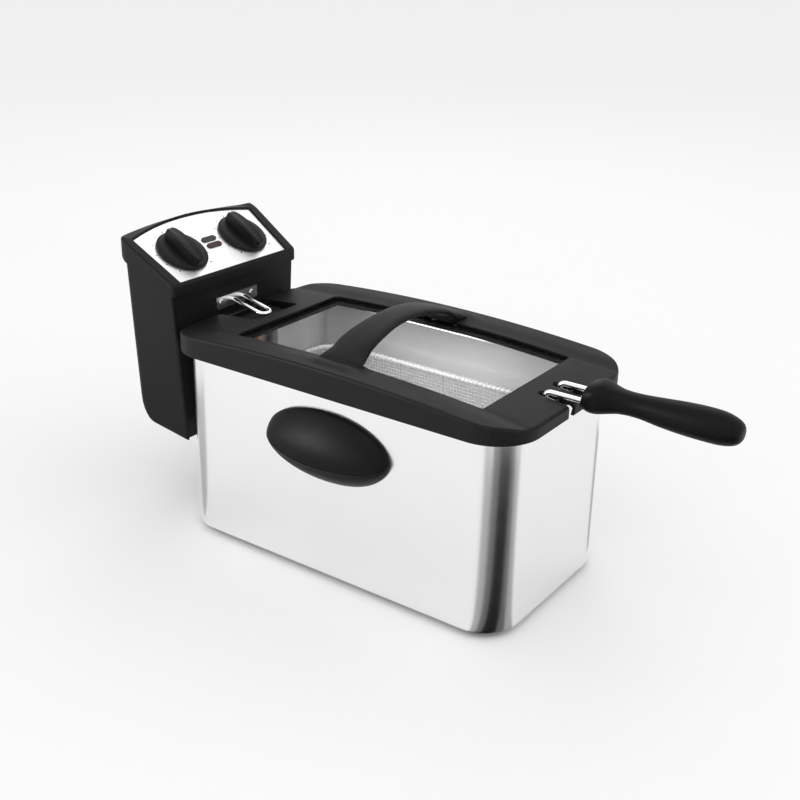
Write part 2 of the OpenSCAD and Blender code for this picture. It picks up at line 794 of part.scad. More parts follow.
// Upright walls that follow a rectangle, between two depths under the crown.
module crowned_frame(x0, x1, hw, wall, top, bottom) {
    difference() {
        intersection() {
            translate([x0 - wall, -hw - wall, 150]) cube([x1 - x0 + 2 * wall, 2 * (hw + wall), 80]);
            crown(top);
        }
        translate([x0, -hw, 150]) cube([x1 - x0, 2 * hw, 80]);
        crown(bottom);
    }
}

lid_screw_spots = [for (sx = [-1, 1], sy = [-1, 1]) [arch_x + sx * 12, sy * 75.2]];
lid_screw_top = 196.8;

// Crowned lid moulding with the window opening, the wire slots and the rear notch.
module lid_shell() {
    color([0.045, 0.045, 0.05]) placed() difference() {
        union() {
            difference() {
                lid_block(0, 0, skirt_z);
                lid_block(lid_wall, lid_wall, skirt_z - 1);
            }
            intersection() {
                ring(seat_half_l, seat_half_w, pot_corner + 4, 2.4, rim_z, 230);
                crown(1);
            }
            crowned_frame(window_rear, window_front, window_half, 2, 1, pane_drop);
            intersection() {
                translate([-lid_half_l + 1, -notch_half - 2.2, rim_z + 1])
                    cube([notch_end + lid_half_l + 1.2, 2 * notch_half + 4.4, 40]);
                crown(1);
            }
            for (x = boss_x, s = [-1, 1]) difference() {
                intersection() {
                    rod_z(150, 230, x, s * boss_y, 3);
                    crown(1);
                }
                crown(pane_drop + pane_thickness + 0.1);
            }
        }
        translate([window_rear, -window_half, 150]) cube([window_front - window_rear, 2 * window_half, 80]);
        translate([-far, -notch_half, 150]) cube([far + notch_end, 2 * notch_half, 80]);
        for (s = [-1, 1])
            translate([slot_end, s * wire_y - slot_width / 2, 150]) cube([60, slot_width, 80]);
        for (p = lid_screw_spots) rod_z(150, 230, p[0], p[1], 1.8);
        for (x = boss_x, s = [-1, 1])
            rod_z(150, crown_z - crown_fall(x) - 4.5, x, s * boss_y, 1.3);
    }
}

// Handle arch across the lid, from rail to rail.
module lid_handle() {
    foot_y = 90;
    outer_rise = arch_top_z - 191;
    outer_r = (foot_y * foot_y + outer_rise * outer_rise) / (2 * outer_rise);
    inner_y = 70;
    inner_rise = arch_under_z - 193;
    inner_r = (inner_y * inner_y + inner_rise * inner_rise) / (2 * inner_rise);
    flare = 7.5;
    flare_y = 70;
    flare_r = (flare_y * flare_y + flare * flare) / (2 * flare);
    color([0.045, 0.045, 0.05]) placed() difference() {
        intersection() {
            translate([0, 0, arch_top_z - outer_r]) rotate([0, 90, 0])
                cylinder(r = outer_r, h = 300, center = true, $fn = 360);
            translate([arch_x, 0, 0]) linear_extrude(300) difference() {
                square([arch_width + 2 * flare, 2 * foot_y], center = true);
                for (s = [-1, 1]) intersection() {
                    translate([s * (arch_width / 2 + flare_r), 0]) circle(flare_r, $fn = 360);
                    square([arch_width + 40, 2 * flare_y], center = true);
                }
            }
        }
        translate([0, 0, arch_under_z - inner_r]) rotate([0, 90, 0])
            cylinder(r = inner_r, h = 300, center = true, $fn = 360);
        crown(0);
        for (p = lid_screw_spots) rod_z(150, lid_screw_top + 0.4, p[0], p[1], 1.6);
    }
}

// Screws that hold the handle arch from under the lid.
module lid_handle_screws() {
    color([0.6, 0.6, 0.62]) placed() for (p = lid_screw_spots) {
        rod_z(crown_z - lid_wall - 4.4, crown_z - lid_wall - 0.4, p[0], p[1], 3);
        rod_z(crown_z - lid_wall - 1, lid_screw_top, p[0], p[1], 1.5);
    }
}

// Clear pane that follows the crown, under the window opening.
module window_pane() {
    color([0.85, 0.88, 0.9, 0.35]) placed() difference() {
        intersection() {
            translate([window_rear - 5, -window_half - 3, 150])
                cube([window_front - window_rear + 10, 2 * window_half + 6, 80]);
            crown(pane_drop);
        }
        crown(pane_drop + pane_thickness);
    }
}

// Frame that clamps the pane from below.
module window_frame() {
    depth = pane_drop + pane_thickness;
    color([0.05, 0.05, 0.055]) placed() difference() {
        intersection() {
            difference() {
                translate([window_rear - 9, -boss_y - 3.4, 150])
                    cube([window_front - window_rear + 18, 2 * boss_y + 6.8, 80]);
                translate([window_rear + 3, -window_half + 3, 140])
                    cube([window_front - window_rear - 6, 2 * window_half - 6, 100]);
            }
            crown(depth + 0.1);
        }
        crown(depth + 2.6);
        for (x = boss_x, s = [-1, 1]) rod_z(150, 230, x, s * boss_y, 1.5);
    }
}

// Screws that hold the pane's frame.
module window_screws() {
    depth = pane_drop + pane_thickness + 2.6;
    color([0.6, 0.6, 0.62]) placed() for (x = boss_x, s = [-1, 1]) {
        top = crown_z - crown_fall(x);
        rod_z(top - depth - 2.2, top - depth - 0.3, x, s * boss_y, 2.6);
        rod_z(top - depth - 0.5, top - 5.5, x, s * boss_y, 1.2);
    }
}

outer_shell();
base_plate();
base_screws();
feet();
side_grip_right();
side_grip_left();
side_grip_screws();
rear_guide();
rear_guide_screws();
oil_pot();
control_case();
case_front();
case_screws();
control_cover();
control_panel();
power_lamp();
ready_lamp();
thermostat();
timer();
temperature_knob();
thermostat_spindle();
timer_knob();
timer_spindle();
terminal_block();
thermal_cutout();
reset_button();
interlock_switch();
interlock_plunger();
inlet_gland();
hook_plate();
drain_hook();
hook_rivets();
heating_element();
element_bracket();
element_clamps();
thermostat_bulb();
basket_mesh();
basket_rim();
basket_frame();
handle_bracket();
handle_wires();
handle_grip();
lid_shell();
lid_handle();
lid_handle_screws();
window_pane();
window_frame();
window_screws();
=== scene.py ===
"""Dresses the deep fryer: steel housing, oil pot, control head, wire basket and lid.

Every sub-assembly is a class that holds its sizes in millimetres about the housing's
centre. Its methods form the visible pieces, hang them on the frame's bodies and give
them their finishes.
"""

import json
import logging
import math
from dataclasses import dataclass, field
from enum import Enum
from typing import Callable, ClassVar, Iterable, Sequence

import bmesh
import bpy
from mathutils import Matrix, Vector
from mathutils.geometry import delaunay_2d_cdt


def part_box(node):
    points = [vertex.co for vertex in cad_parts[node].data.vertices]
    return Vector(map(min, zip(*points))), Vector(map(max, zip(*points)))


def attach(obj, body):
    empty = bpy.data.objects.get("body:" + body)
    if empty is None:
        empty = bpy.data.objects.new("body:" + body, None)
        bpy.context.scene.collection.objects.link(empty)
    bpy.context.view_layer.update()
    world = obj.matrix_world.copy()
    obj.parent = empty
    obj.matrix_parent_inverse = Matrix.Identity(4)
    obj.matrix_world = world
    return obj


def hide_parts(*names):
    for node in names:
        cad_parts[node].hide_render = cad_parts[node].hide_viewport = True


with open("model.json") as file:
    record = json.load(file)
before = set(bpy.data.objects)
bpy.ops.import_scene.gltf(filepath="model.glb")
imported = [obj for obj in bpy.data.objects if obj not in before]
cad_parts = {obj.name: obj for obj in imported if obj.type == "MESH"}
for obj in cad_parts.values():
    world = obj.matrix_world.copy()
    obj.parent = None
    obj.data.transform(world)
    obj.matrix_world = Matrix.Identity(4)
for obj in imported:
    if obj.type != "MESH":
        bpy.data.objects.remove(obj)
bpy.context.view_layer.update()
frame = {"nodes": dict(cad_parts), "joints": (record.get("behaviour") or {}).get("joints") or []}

logging.basicConfig(level=logging.INFO, format="%(name)s: %(message)s")
log = logging.getLogger("fryer")

MM = 0.001
Point = tuple[float, float, float]
Flat = tuple[float, float]
Colour = tuple[float, float, float]
Skin = tuple[list[Point], list[list[int]]]


# ---------------------------------------------------------------- measures


@dataclass(frozen=True)
class Extent:
    """Lowest and highest corner of a node, in millimetres about the housing's centre."""

    lo: Vector
    hi: Vector

    @classmethod
    def of(cls, node: str) -> "Extent":
        """Reads a node's extent from the frame.

        Args:
            node: Name of the node.

        Returns:
            Its extent about the housing's centre.
        """
        lo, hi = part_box(node)
        shift = Vector((CENTRE_X, 0, 0))
        return cls((lo - shift) / MM, (hi - shift) / MM)

    @property
    def half(self) -> Vector:
        """Half of the size along each axis."""
        return (self.hi - self.lo) / 2

    @property
    def mid(self) -> Vector:
        """Middle point."""
        return (self.hi + self.lo) / 2


CENTRE_X = sum(corner.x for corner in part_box("outer_shell")) / 2


def metres(point: Sequence[float]) -> Vector:
    """Turns a point in millimetres about the housing's centre into the frame's metres."""
    return Vector((point[0] * MM + CENTRE_X, point[1] * MM, point[2] * MM))


def ease(x: float, lo: float, hi: float) -> float:
    """Smooth step from 0 at lo to 1 at hi."""
    t = min(max((x - lo) / (hi - lo), 0.0), 1.0)
    return t * t * (3 - 2 * t)


def spread(lo: float, hi: float, count: int) -> list[float]:
    """Evenly spaced values from lo to hi, both included."""
    return [lo + (hi - lo) * i / (count - 1) for i in range(count)]


def along(table: Sequence[Sequence[float]], x: float, column: int) -> float:
    """Reads a smooth curve through the rows of a table.

    Args:
        table: Rows that start with their place, in rising order.
        x: Place at which the curve is read.
        column: Column of the value.

    Returns:
        The value at that place, on a cubic with slopes from the neighbours.
    """
    last = len(table) - 1
    i = max(k for k in range(last) if table[k][0] <= x or k == 0)
    a, b = table[i], table[i + 1]
    before, after = table[max(i - 1, 0)], table[min(i + 2, last)]
    span = b[0] - a[0]
    t = min(max((x - a[0]) / span, 0.0), 1.0)
    slope_a = (b[column] - before[column]) / (b[0] - before[0]) * span
    slope_b = (after[column] - a[column]) / (after[0] - a[0]) * span
    return ((2 * t**3 - 3 * t**2 + 1) * a[column] + (t**3 - 2 * t**2 + t) * slope_a
            + (3 * t**2 - 2 * t**3) * b[column] + (t**3 - t**2) * slope_b)


# ---------------------------------------------------------------- shader maths


class Net:
    """Node tree of one finish."""

    def __init__(self, name: str) -> None:
        """Starts an empty tree.

        Args:
            name: Name of the material.
        """
        self.material = bpy.data.materials.new(name)
        self.material.use_nodes = True
        self.tree = self.material.node_tree
        self.tree.nodes.clear()

    def node(self, kind: str, settings: dict | None = None,
             inputs: dict | None = None) -> bpy.types.Node:
        """Adds a node.

        Args:
            kind: Node type.
            settings: Properties that are set before the sockets.
            inputs: Value or link for each input, by name or number.

        Returns:
            The node.
        """
        made = self.tree.nodes.new(kind)
        for key, value in (settings or {}).items():
            setattr(made, key, value)
        for key, value in (inputs or {}).items():
            if isinstance(value, Wire):
                self.tree.links.new(value.socket, made.inputs[key])
            else:
                made.inputs[key].default_value = value
        return made

    def place(self, stretch: Sequence[float]) -> "Wire":
        """The piece's own coordinates, multiplied along each axis."""
        here = self.node("ShaderNodeTexCoord").outputs["Object"]
        scaled = self.node("ShaderNodeVectorMath", {"operation": "MULTIPLY"},
                           {0: Wire(self, here), 1: tuple(stretch)})
        return Wire(self, scaled.outputs[0])

    def noise(self, where: "Wire", detail: float = 3.0, roughness: float = 0.6) -> "Wire":
        """Soft noise from 0 to 1 about 0.5, one feature for each unit of the coordinate."""
        made = self.node("ShaderNodeTexNoise", {}, {
            "Vector": where, "Scale": 1.0, "Detail": detail, "Roughness": roughness})
        return Wire(self, made.outputs["Fac"])

    def cells(self, where: "Wire") -> "Wire":
        """Distance to the nearest of scattered points."""
        made = self.node("ShaderNodeTexVoronoi", {}, {"Vector": where, "Scale": 1.0})
        return Wire(self, made.outputs["Distance"])

    def blend(self, share: "Wire", a: Colour, b: Colour) -> "Wire":
        """Mixes two colours by a share, through a Mix node's colour sockets 6, 7 and 2."""
        made = self.node("ShaderNodeMix", {"data_type": "RGBA"}, {
            0: share, 6: (*a, 1.0), 7: (*b, 1.0)})
        return Wire(self, made.outputs[2])

    def bump(self, height: "Wire", depth: float) -> "Wire":
        """Turns a height from 0 to 1 into a normal.

        Args:
            height: The height.
            depth: How deep a step from 0 to 1 is, in metres.

        Returns:
            The normal.
        """
        made = self.node("ShaderNodeBump", {}, {
            "Strength": 1.0, "Distance": depth, "Height": height})
        return Wire(self, made.outputs["Normal"])

    def surface(self, **inputs: object) -> bpy.types.Material:
        """Closes the tree with one surface.

        Args:
            **inputs: Socket values or links, with underscores for spaces.

        Returns:
            The material.
        """
        named = {key.replace("_", " "): value for key, value in inputs.items()}
        shader = self.node("ShaderNodeBsdfPrincipled", {}, named)
        end = self.node("ShaderNodeOutputMaterial")
        self.tree.links.new(shader.outputs[0], end.inputs["Surface"])
        return self.material


class Wire:
    """A value on its way through a tree, with Python's operators as Math nodes."""

    def __init__(self, net: Net, socket: bpy.types.NodeSocket) -> None:
        """Wraps an output socket of a tree."""
        self.net = net
        self.socket = socket

    def _math(self, operation: str, *values: "Wire | float") -> "Wire":
        """Adds one Math node on the given values."""
        made = self.net.node("ShaderNodeMath", {"operation": operation},
                             dict(enumerate(values)))
        return Wire(self.net, made.outputs[0])

    def __add__(self, other: "Wire | float") -> "Wire":
        """Sum."""
        return self._math("ADD", self, other)

    __radd__ = __add__

    def __sub__(self, other: "Wire | float") -> "Wire":
        """Difference."""
        return self._math("SUBTRACT", self, other)

    def __rsub__(self, other: float) -> "Wire":
        """Difference from a number."""
        return self._math("SUBTRACT", other, self)

    def __mul__(self, other: "Wire | float") -> "Wire":
        """Product."""
        return self._math("MULTIPLY", self, other)

    __rmul__ = __mul__

    def ramp(self, lo: float, hi: float) -> "Wire":
        """Smooth step from 0 at lo to 1 at hi."""
        made = self.net.node("ShaderNodeMapRange", {"interpolation_type": "SMOOTHSTEP"}, {
            "Value": self, "From Min": lo, "From Max": hi, "To Min": 0.0, "To Max": 1.0})
        return Wire(self.net, made.outputs[0])


# ---------------------------------------------------------------- finishes


class Grain(Enum):
    """Which way a metal was brushed, as features for each metre along X, Y and Z."""

    LEVEL = (14.0, 14.0, 2600.0)
    CROSSWISE = (2200.0, 14.0, 2200.0)
    NONE = (900.0, 900.0, 900.0)


@dataclass(frozen=True)
class Metal:
    """Brushed, drawn or plated metal."""

    slot: str
    tint: Colour
    rough: float
    grain: Grain = Grain.NONE
    streak: float = 0.06
    depth: float = 0.000004
    stain: Colour | None = None
    metallic: float = 1.0

    def make(self) -> bpy.types.Material:
        """Builds the material.

        Returns:
            A metal with fine streaks, slow clouds and, if asked for, heat stains.
        """
        net = Net(self.slot)
        streaks = net.noise(net.place(self.grain.value), 2.0, 0.65)
        clouds = net.noise(net.place((22.0, 22.0, 22.0)), 3.0, 0.5)
        share = (streaks - 0.5) * 1.4 + (clouds - 0.5) * 0.7 + 0.5
        dark = tuple(c * (1 - self.streak) for c in self.tint)
        light = tuple(min(c * (1 + self.streak), 1.0) for c in self.tint)
        if self.stain is not None:
            share = clouds.ramp(0.35, 0.65)
            dark = self.stain
        return net.surface(
            Base_Color=net.blend(share, dark, light),
            Metallic=self.metallic,
            Roughness=(streaks - 0.5) * 0.12 + (clouds - 0.5) * 0.10 + self.rough,
            Normal=net.bump(streaks, self.depth),
        )


@dataclass(frozen=True)
class Moulding:
    """Moulded plastic or rubber with a spark-eroded grain."""

    slot: str
    tint: Colour
    rough: float
    gloss: float = 0.3
    cell: float = 0.0006
    depth: float = 0.00002

    def make(self) -> bpy.types.Material:
        """Builds the material.

        Returns:
            A dull moulding with a pebbled grain, rubbed smoother here and there.
        """
        net = Net(self.slot)
        scale = (1 / self.cell,) * 3
        pebbles = net.cells(net.place(scale)).ramp(0.05, 0.75)
        rubbed = net.noise(net.place((26.0, 26.0, 26.0)), 3.0, 0.55)
        dust = net.noise(net.place((640.0, 640.0, 640.0)), 2.0, 0.6)
        light = tuple(c * 1.45 + 0.0015 for c in self.tint)
        return net.surface(
            Base_Color=net.blend(dust.ramp(0.35, 0.75), self.tint, light),
            Roughness=(rubbed - 0.5) * 0.16 + pebbles * 0.05 + (self.rough - 0.025),
            Specular_IOR_Level=self.gloss,
            Normal=net.bump(pebbles, self.depth),
        )


@dataclass(frozen=True)
class Lens:
    """Ribbed plastic lens of a lamp or a button."""

    slot: str
    tint: Colour
    coat: float = 0.05

    def make(self) -> bpy.types.Material:
        """Builds the material.

        Returns:
            A glossy lens with fine ribs across it.
        """
        net = Net(self.slot)
        ribs = net.noise(net.place((90.0, 1400.0, 90.0)), 1.0, 0.4)
        light = tuple(min(c * 1.6 + 0.002, 1.0) for c in self.tint)
        return net.surface(
            Base_Color=net.blend(ribs.ramp(0.4, 0.62), self.tint, light),
            Roughness=(ribs - 0.5) * 0.1 + 0.3,
            Specular_IOR_Level=0.25,
            Coat_Weight=self.coat,
            Normal=net.bump(ribs, 0.00003),
        )


@dataclass(frozen=True)
class Pane:
    """Clear toughened glass."""

    slot: str
    veil: float

    def make(self) -> bpy.types.Material:
        """Builds the material.

        Returns:
            A clear pane with a faint film that is uneven like wiped glass.
        """
        net = Net(self.slot)
        film = net.noise(net.place((30.0, 55.0, 30.0)), 3.0, 0.55)
        return net.surface(
            Base_Color=net.blend(film, (0.10, 0.105, 0.11), (0.16, 0.165, 0.17)),
            Roughness=film * 0.05 + 0.03,
            Alpha=(film - 0.5) * 0.03 + self.veil,
        )


@dataclass(frozen=True)
class Ground:
    """Pale painted studio floor."""

    slot: str
    tint: Colour

    def make(self) -> bpy.types.Material:
        """Builds the material.

        Returns:
            A pale floor with a trace of unevenness.
        """
        net = Net(self.slot)
        clouds = net.noise(net.place((3.0, 3.0, 3.0)), 2.0, 0.5)
        return net.surface(
            Base_Color=net.blend(clouds, self.tint, tuple(c * 0.99 for c in self.tint)),
            Roughness=(clouds - 0.5) * 0.05 + 0.85,
            Specular_IOR_Level=0.1,
        )


Finish = Metal | Moulding | Lens | Pane

FINISHES: list[Finish] = [
    Metal("housing_steel", (0.88, 0.88, 0.88), 0.22, Grain.LEVEL, 0.02, 0.000002),
    Metal("pot_steel", (0.90, 0.90, 0.90), 0.34, Grain.LEVEL, 0.04, metallic=0.6),
    Metal("wire_chrome", (0.94, 0.94, 0.94), 0.16, Grain.NONE, 0.05),
    Metal("mesh_wire", (0.93, 0.93, 0.93), 0.28, Grain.NONE, 0.05, metallic=0.5),
    Metal("panel_silver", (0.95, 0.95, 0.95), 0.42, Grain.CROSSWISE, 0.03),
    Metal("bracket_steel", (0.86, 0.86, 0.86), 0.28, Grain.CROSSWISE, 0.06),
    Metal("screw_steel", (0.60, 0.60, 0.61), 0.32, Grain.NONE, 0.10),
    Metal("element_steel", (0.42, 0.39, 0.37), 0.38, Grain.NONE, 0.10, 0.00001,
          (0.16, 0.13, 0.12)),
    Metal("copper", (0.72, 0.43, 0.29), 0.34, Grain.NONE, 0.10, 0.000006,
          (0.42, 0.22, 0.14)),
    Moulding("black_plastic", (0.0060, 0.0060, 0.0063), 0.48, 0.16),
    Moulding("grip_plastic", (0.0035, 0.0035, 0.0037), 0.42, 0.11, 0.0009, 0.000012),
    Moulding("knob_plastic", (0.0050, 0.0050, 0.0053), 0.40, 0.18, 0.0007, 0.000012),
    Moulding("inner_plastic", (0.05, 0.05, 0.052), 0.5),
    Moulding("ceramic", (0.72, 0.71, 0.68), 0.35, 0.5, 0.0008, 0.00001),
    Moulding("rubber", (0.012, 0.012, 0.012), 0.75, 0.25, 0.0008, 0.00003),
    Lens("lamp_red", (0.020, 0.004, 0.004)),
    Lens("lamp_green", (0.004, 0.014, 0.006)),
    Lens("reset_red", (0.42, 0.03, 0.025), 0.5),
    Pane("glass", 0.045),
]


class Shop:
    """Keeps one material for each finish and puts it on the pieces."""

    def __init__(self, finishes: Iterable[Finish]) -> None:
        """Makes every material once.

        Args:
            finishes: The finishes, each named for its slot.
        """
        self.stock = {finish.slot: finish.make() for finish in finishes}

    def dress(self, piece: bpy.types.Object, slot: str) -> None:
        """Gives a piece one finish, as its only material."""
        piece.data.materials.clear()
        piece.data.materials.append(self.stock[slot])


# ---------------------------------------------------------------- forming


def form(name: str, points: Sequence[Sequence[float]], faces: Sequence[Sequence[int]],
         crease: float = 32.0, closed: bool = True) -> bpy.types.Object:
    """Makes a smooth mesh object from points in millimetres.

    Args:
        name: Name of the piece.
        points: Points about the housing's centre.
        faces: Corner numbers of each face.
        crease: Edges sharper than this angle in degrees stay sharp.
        closed: True if the mesh encloses a volume, so that it can be turned right side out.

    Returns:
        The object, linked into the scene.
    """
    mesh = bpy.data.meshes.new(name)
    mesh.from_pydata([metres(p) for p in points], [], [tuple(f) for f in faces])
    work = bmesh.new()
    work.from_mesh(mesh)
    bmesh.ops.remove_doubles(work, verts=work.verts, dist=1e-7)
    if closed:
        bmesh.ops.recalc_face_normals(work, faces=work.faces)
    work.to_mesh(mesh)
    work.free()
    mesh.polygons.foreach_set("use_smooth", [True] * len(mesh.polygons))
    mesh.set_sharp_from_angle(angle=math.radians(crease))
    piece = bpy.data.objects.new(name, mesh)
    bpy.context.scene.collection.objects.link(piece)
    return piece


def even_normals(piece: bpy.types.Object) -> None:
    """Lets large faces set the shading beside a rounded edge."""
    fair = piece.modifiers.new("fair", "WEIGHTED_NORMAL")
    fair.keep_sharp = True


def skin(rings: Sequence[Sequence[Point]], ends: bool = True,
         cyclic: bool = False) -> Skin:
    """Joins closed rings of equal count into one skin.

    Args:
        rings: The rings in order.
        ends: True to close the first and the last ring with a face.
        cyclic: True to join the last ring to the first.

    Returns:
        The points and the faces.
    """
    count = len(rings[0])
    points = [p for ring in rings for p in ring]
    faces: list[list[int]] = []
    total = len(rings)
    for k in range(total if cyclic else total - 1):
        a, b = k * count, (k + 1) % total * count
        for i in range(count):
            j = (i + 1) % count
            faces.append([a + i, a + j, b + j, b + i])
    if ends and not cyclic:
        faces.append(list(range(count)))
        faces.append([(total - 1) * count + i for i in range(count)])
    return points, faces


def merged(*parts: Skin) -> Skin:
    """Puts several skins into one list of points and faces."""
    points: list[Point] = []
    faces: list[list[int]] = []
    for more_points, more_faces in parts:
        base = len(points)
        points += more_points
        faces += [[base + i for i in face] for face in more_faces]
    return points, faces


def round_loop(half_l: float, half_w: float, radius: float, centre: Flat = (0.0, 0.0),
               steps: int = 20, guard: float = 1.2) -> list[Flat]:
    """Rectangle with round corners, as a closed loop.

    Args:
        half_l: Half length along X.
        half_w: Half width along Y.
        radius: Radius of the corners.
        centre: Middle of the rectangle.
        steps: Facets of each corner.
        guard: Distance from a corner's arc to an extra point on the straight.

    Returns:
        The loop, anticlockwise from the front edge's far end.
    """
    loop: list[Flat] = []
    for q, (sx, sy) in enumerate(((1, 1), (-1, 1), (-1, -1), (1, -1))):
        hub = (centre[0] + sx * (half_l - radius), centre[1] + sy * (half_w - radius))
        bend = arc(hub, radius, 90 * q, 90 * (q + 1), steps)
        enter, leave = math.radians(90 * (q - 1)), math.radians(90 * (q + 2))
        loop.append((bend[0][0] + math.cos(enter) * guard, bend[0][1] + math.sin(enter) * guard))
        loop += bend
        loop.append((bend[-1][0] + math.cos(leave) * guard,
                     bend[-1][1] + math.sin(leave) * guard))
    return loop


def stacked(half_l: float, half_w: float, radius: float, profile: Sequence[Flat],
            centre: Flat = (0.0, 0.0), steps: int = 20) -> list[list[Point]]:
    """Rings of a round-cornered wall.

    Args:
        half_l: Half length at no inset.
        half_w: Half width at no inset.
        radius: Corner radius at no inset.
        profile: Inset and height of each ring.
        centre: Middle of the wall.
        steps: Facets of each corner.

    Returns:
        The rings.
    """
    return [[(x, y, z) for x, y in round_loop(half_l - inset, half_w - inset,
                                              max(radius - inset, 0.4), centre, steps)]
            for inset, z in profile]


def straight(a: Flat, b: Flat, step: float = 6.0) -> list[Flat]:
    """Evenly divided straight, both ends included."""
    count = max(int(math.dist(a, b) / step), 1)
    return [(a[0] + (b[0] - a[0]) * i / count, a[1] + (b[1] - a[1]) * i / count)
            for i in range(count + 1)]


def arc(centre: Flat, radius: float, start: float, stop: float,
        steps: int = 6) -> list[Flat]:
    """Points of an arc, from one angle to another in degrees."""
    return [(centre[0] + radius * math.cos(math.radians(a)),
             centre[1] + radius * math.sin(math.radians(a)))
            for a in spread(start, stop, steps + 1)]


def tube(path: Sequence[Vector], radius: float, sides: int = 5,
         cyclic: bool = False) -> Skin:
    """A thin round wire along a path.

    Args:
        path: Points of the centreline in millimetres.
        radius: Radius of the wire.
        sides: Facets round the wire.
        cyclic: True for a closed wire.

    Returns:
        The points and the faces.
    """
    rings: list[list[Point]] = []
    total = len(path)
    up = Vector((0.31, 0.23, 0.92))  # a direction that no wire runs in
    for i, here in enumerate(path):
        before = path[(i - 1) % total] if cyclic or i else here
        after = path[(i + 1) % total] if cyclic or i < total - 1 else here
        way = (after - before).normalized()
        side = way.cross(up)
        side = side.normalized() if side.length > 1e-3 else way.orthogonal().normalized()
        up = side.cross(way)
        rings.append([tuple(here + side * (radius * math.cos(2 * math.pi * k / sides))
                            + up * (radius * math.sin(2 * math.pi * k / sides)))
                      for k in range(sides)])
    return skin(rings, cyclic=cyclic)


@dataclass
class Assembly:
    """A group of pieces that share the shop's finishes."""

    shop: Shop

    def hang(self, piece: bpy.types.Object, body: str, slot: str,
             stands_for: Sequence[str] = ()) -> bpy.types.Object:
        """Puts a new piece on its body, dresses it and reports it.

        Args:
            piece: The piece, already in place.
            body: The body that it moves with.
            slot: The finish.
            stands_for: Nodes that it replaces.

        Returns:
            The piece.
        """
        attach(piece, body)
        if stands_for:
            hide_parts(*stands_for)
        self.shop.dress(piece, slot)
        log.info("%s on %s, %d faces", piece.name, body, len(piece.data.polygons))
        return piece

    def keep(self, slot: str, *nodes: str) -> None:
        """Dresses nodes that keep their own shape."""
        for node in nodes:
            self.shop.dress(frame["nodes"][node], slot)
            log.info("%s kept", node)


# ---------------------------------------------------------------- housing


@dataclass
class Housing(Assembly):
    """Steel wrap, base, feet, side grips and the guide at the back."""

    radius: float = 33.0
    sheet: float = 1.0
    hem: float = 13.0
    foot_bend: float = 1.4
    edge_round: float = 0.5
    grip_ridge: float = -0.36
    grip_share: float = 0.975
    grip_shift: float = 1.5
    grip_plinth: float = 2.2
    grip_set_back: float = 4.5
    grip_fullness: float = 0.85
    grip_upper: float = 0.95

    def wrap(self) -> None:
        """Forms the steel sheet with its rolled edges and the hem under the base."""
        at = Extent.of("outer_shell")
        low, top = at.lo.z, at.hi.z
        bend, edge = self.foot_bend, self.edge_round
        profile = [(self.hem, low), (2.4, low), (bend, low),
                   *arc((bend, low + bend), -bend, 90, 0, 4), (0, low + 2.4),
                   (0, top - 1.2), *arc((edge, top - edge), -edge, 0, -90, 3),
                   *arc((self.sheet - edge, top - edge), edge, 90, 0, 3),
                   (self.sheet, top - 1.2), (self.sheet, low + 2.2),
                   (2.2, low + self.sheet), (self.hem, low + self.sheet)]
        rings = stacked(at.half.x, at.half.y, self.radius, profile, steps=28)
        piece = form("housing_wrap", *skin(rings, cyclic=True))
        even_normals(piece)
        self.hang(piece, "housing", "housing_steel", ["outer_shell"])

    def side_grip(self, side: int, node: str) -> None:
        """Forms one oval grip: a dome that falls to a ridge and tucks in under it.

        Args:
            side: -1 for the right grip, 1 for the left one.
            node: The node that it replaces.
        """
        at = Extent.of(node)
        wall = abs(at.lo.y if side > 0 else at.hi.y)
        half_l, half_h = at.half.x * self.grip_share, at.half.z
        reach = at.hi.y - at.lo.y - self.grip_set_back
        ridge = self.grip_ridge
        stations, upper_rows, lower_rows = 60, 22, 9
        rings: list[list[Point]] = []
        for i in range(stations + 1):
            u = -math.cos(math.pi * i / stations)
            chord = math.sqrt(max(1 - u * u, 0.0))
            swell = chord ** self.grip_fullness
            plinth = self.grip_plinth * min(chord * 4, 1)
            section: list[Flat] = [(0.0, 1.0), (plinth, 1.0)]
            for k in range(1, upper_rows + 1):
                rise = math.sin(math.pi / 2 * k / upper_rows) ** self.grip_fullness
                section.append((plinth + reach * swell * rise, 1 - (1 - ridge) * k / upper_rows))
            lip = section[upper_rows][0]
            for a in (20, 45, 70):
                section.append((lip + 0.7 * swell * (1 - a / 90), ridge - 0.035 * a / 90))
            for k in range(1, lower_rows + 1):
                t = k / lower_rows
                section.append((plinth + reach * swell * 0.97 * (1 - t ** 1.9),
                                ridge - 0.04 + (-1 - ridge + 0.04) * t))
            section.append((0.0, -1.0))
            rings.append([(u * half_l + self.grip_shift, side * (wall + d),
                           at.mid.z + v * (self.grip_upper if v > 0 else 1.0) * chord * half_h)
                          for d, v in section])
        piece = form(node.replace("side", "moulded"), *skin(rings), crease=50)
        self.hang(piece, "housing", "grip_plastic", [node])

    def build(self) -> None:
        """Forms and dresses the whole housing."""
        self.wrap()
        self.side_grip(-1, "side_grip_right")
        self.side_grip(1, "side_grip_left")
        self.keep("black_plastic", "base_plate", "rear_guide")
        self.keep("rubber", "feet")
        self.keep("screw_steel", "base_screws", "side_grip_screws", "rear_guide_screws")


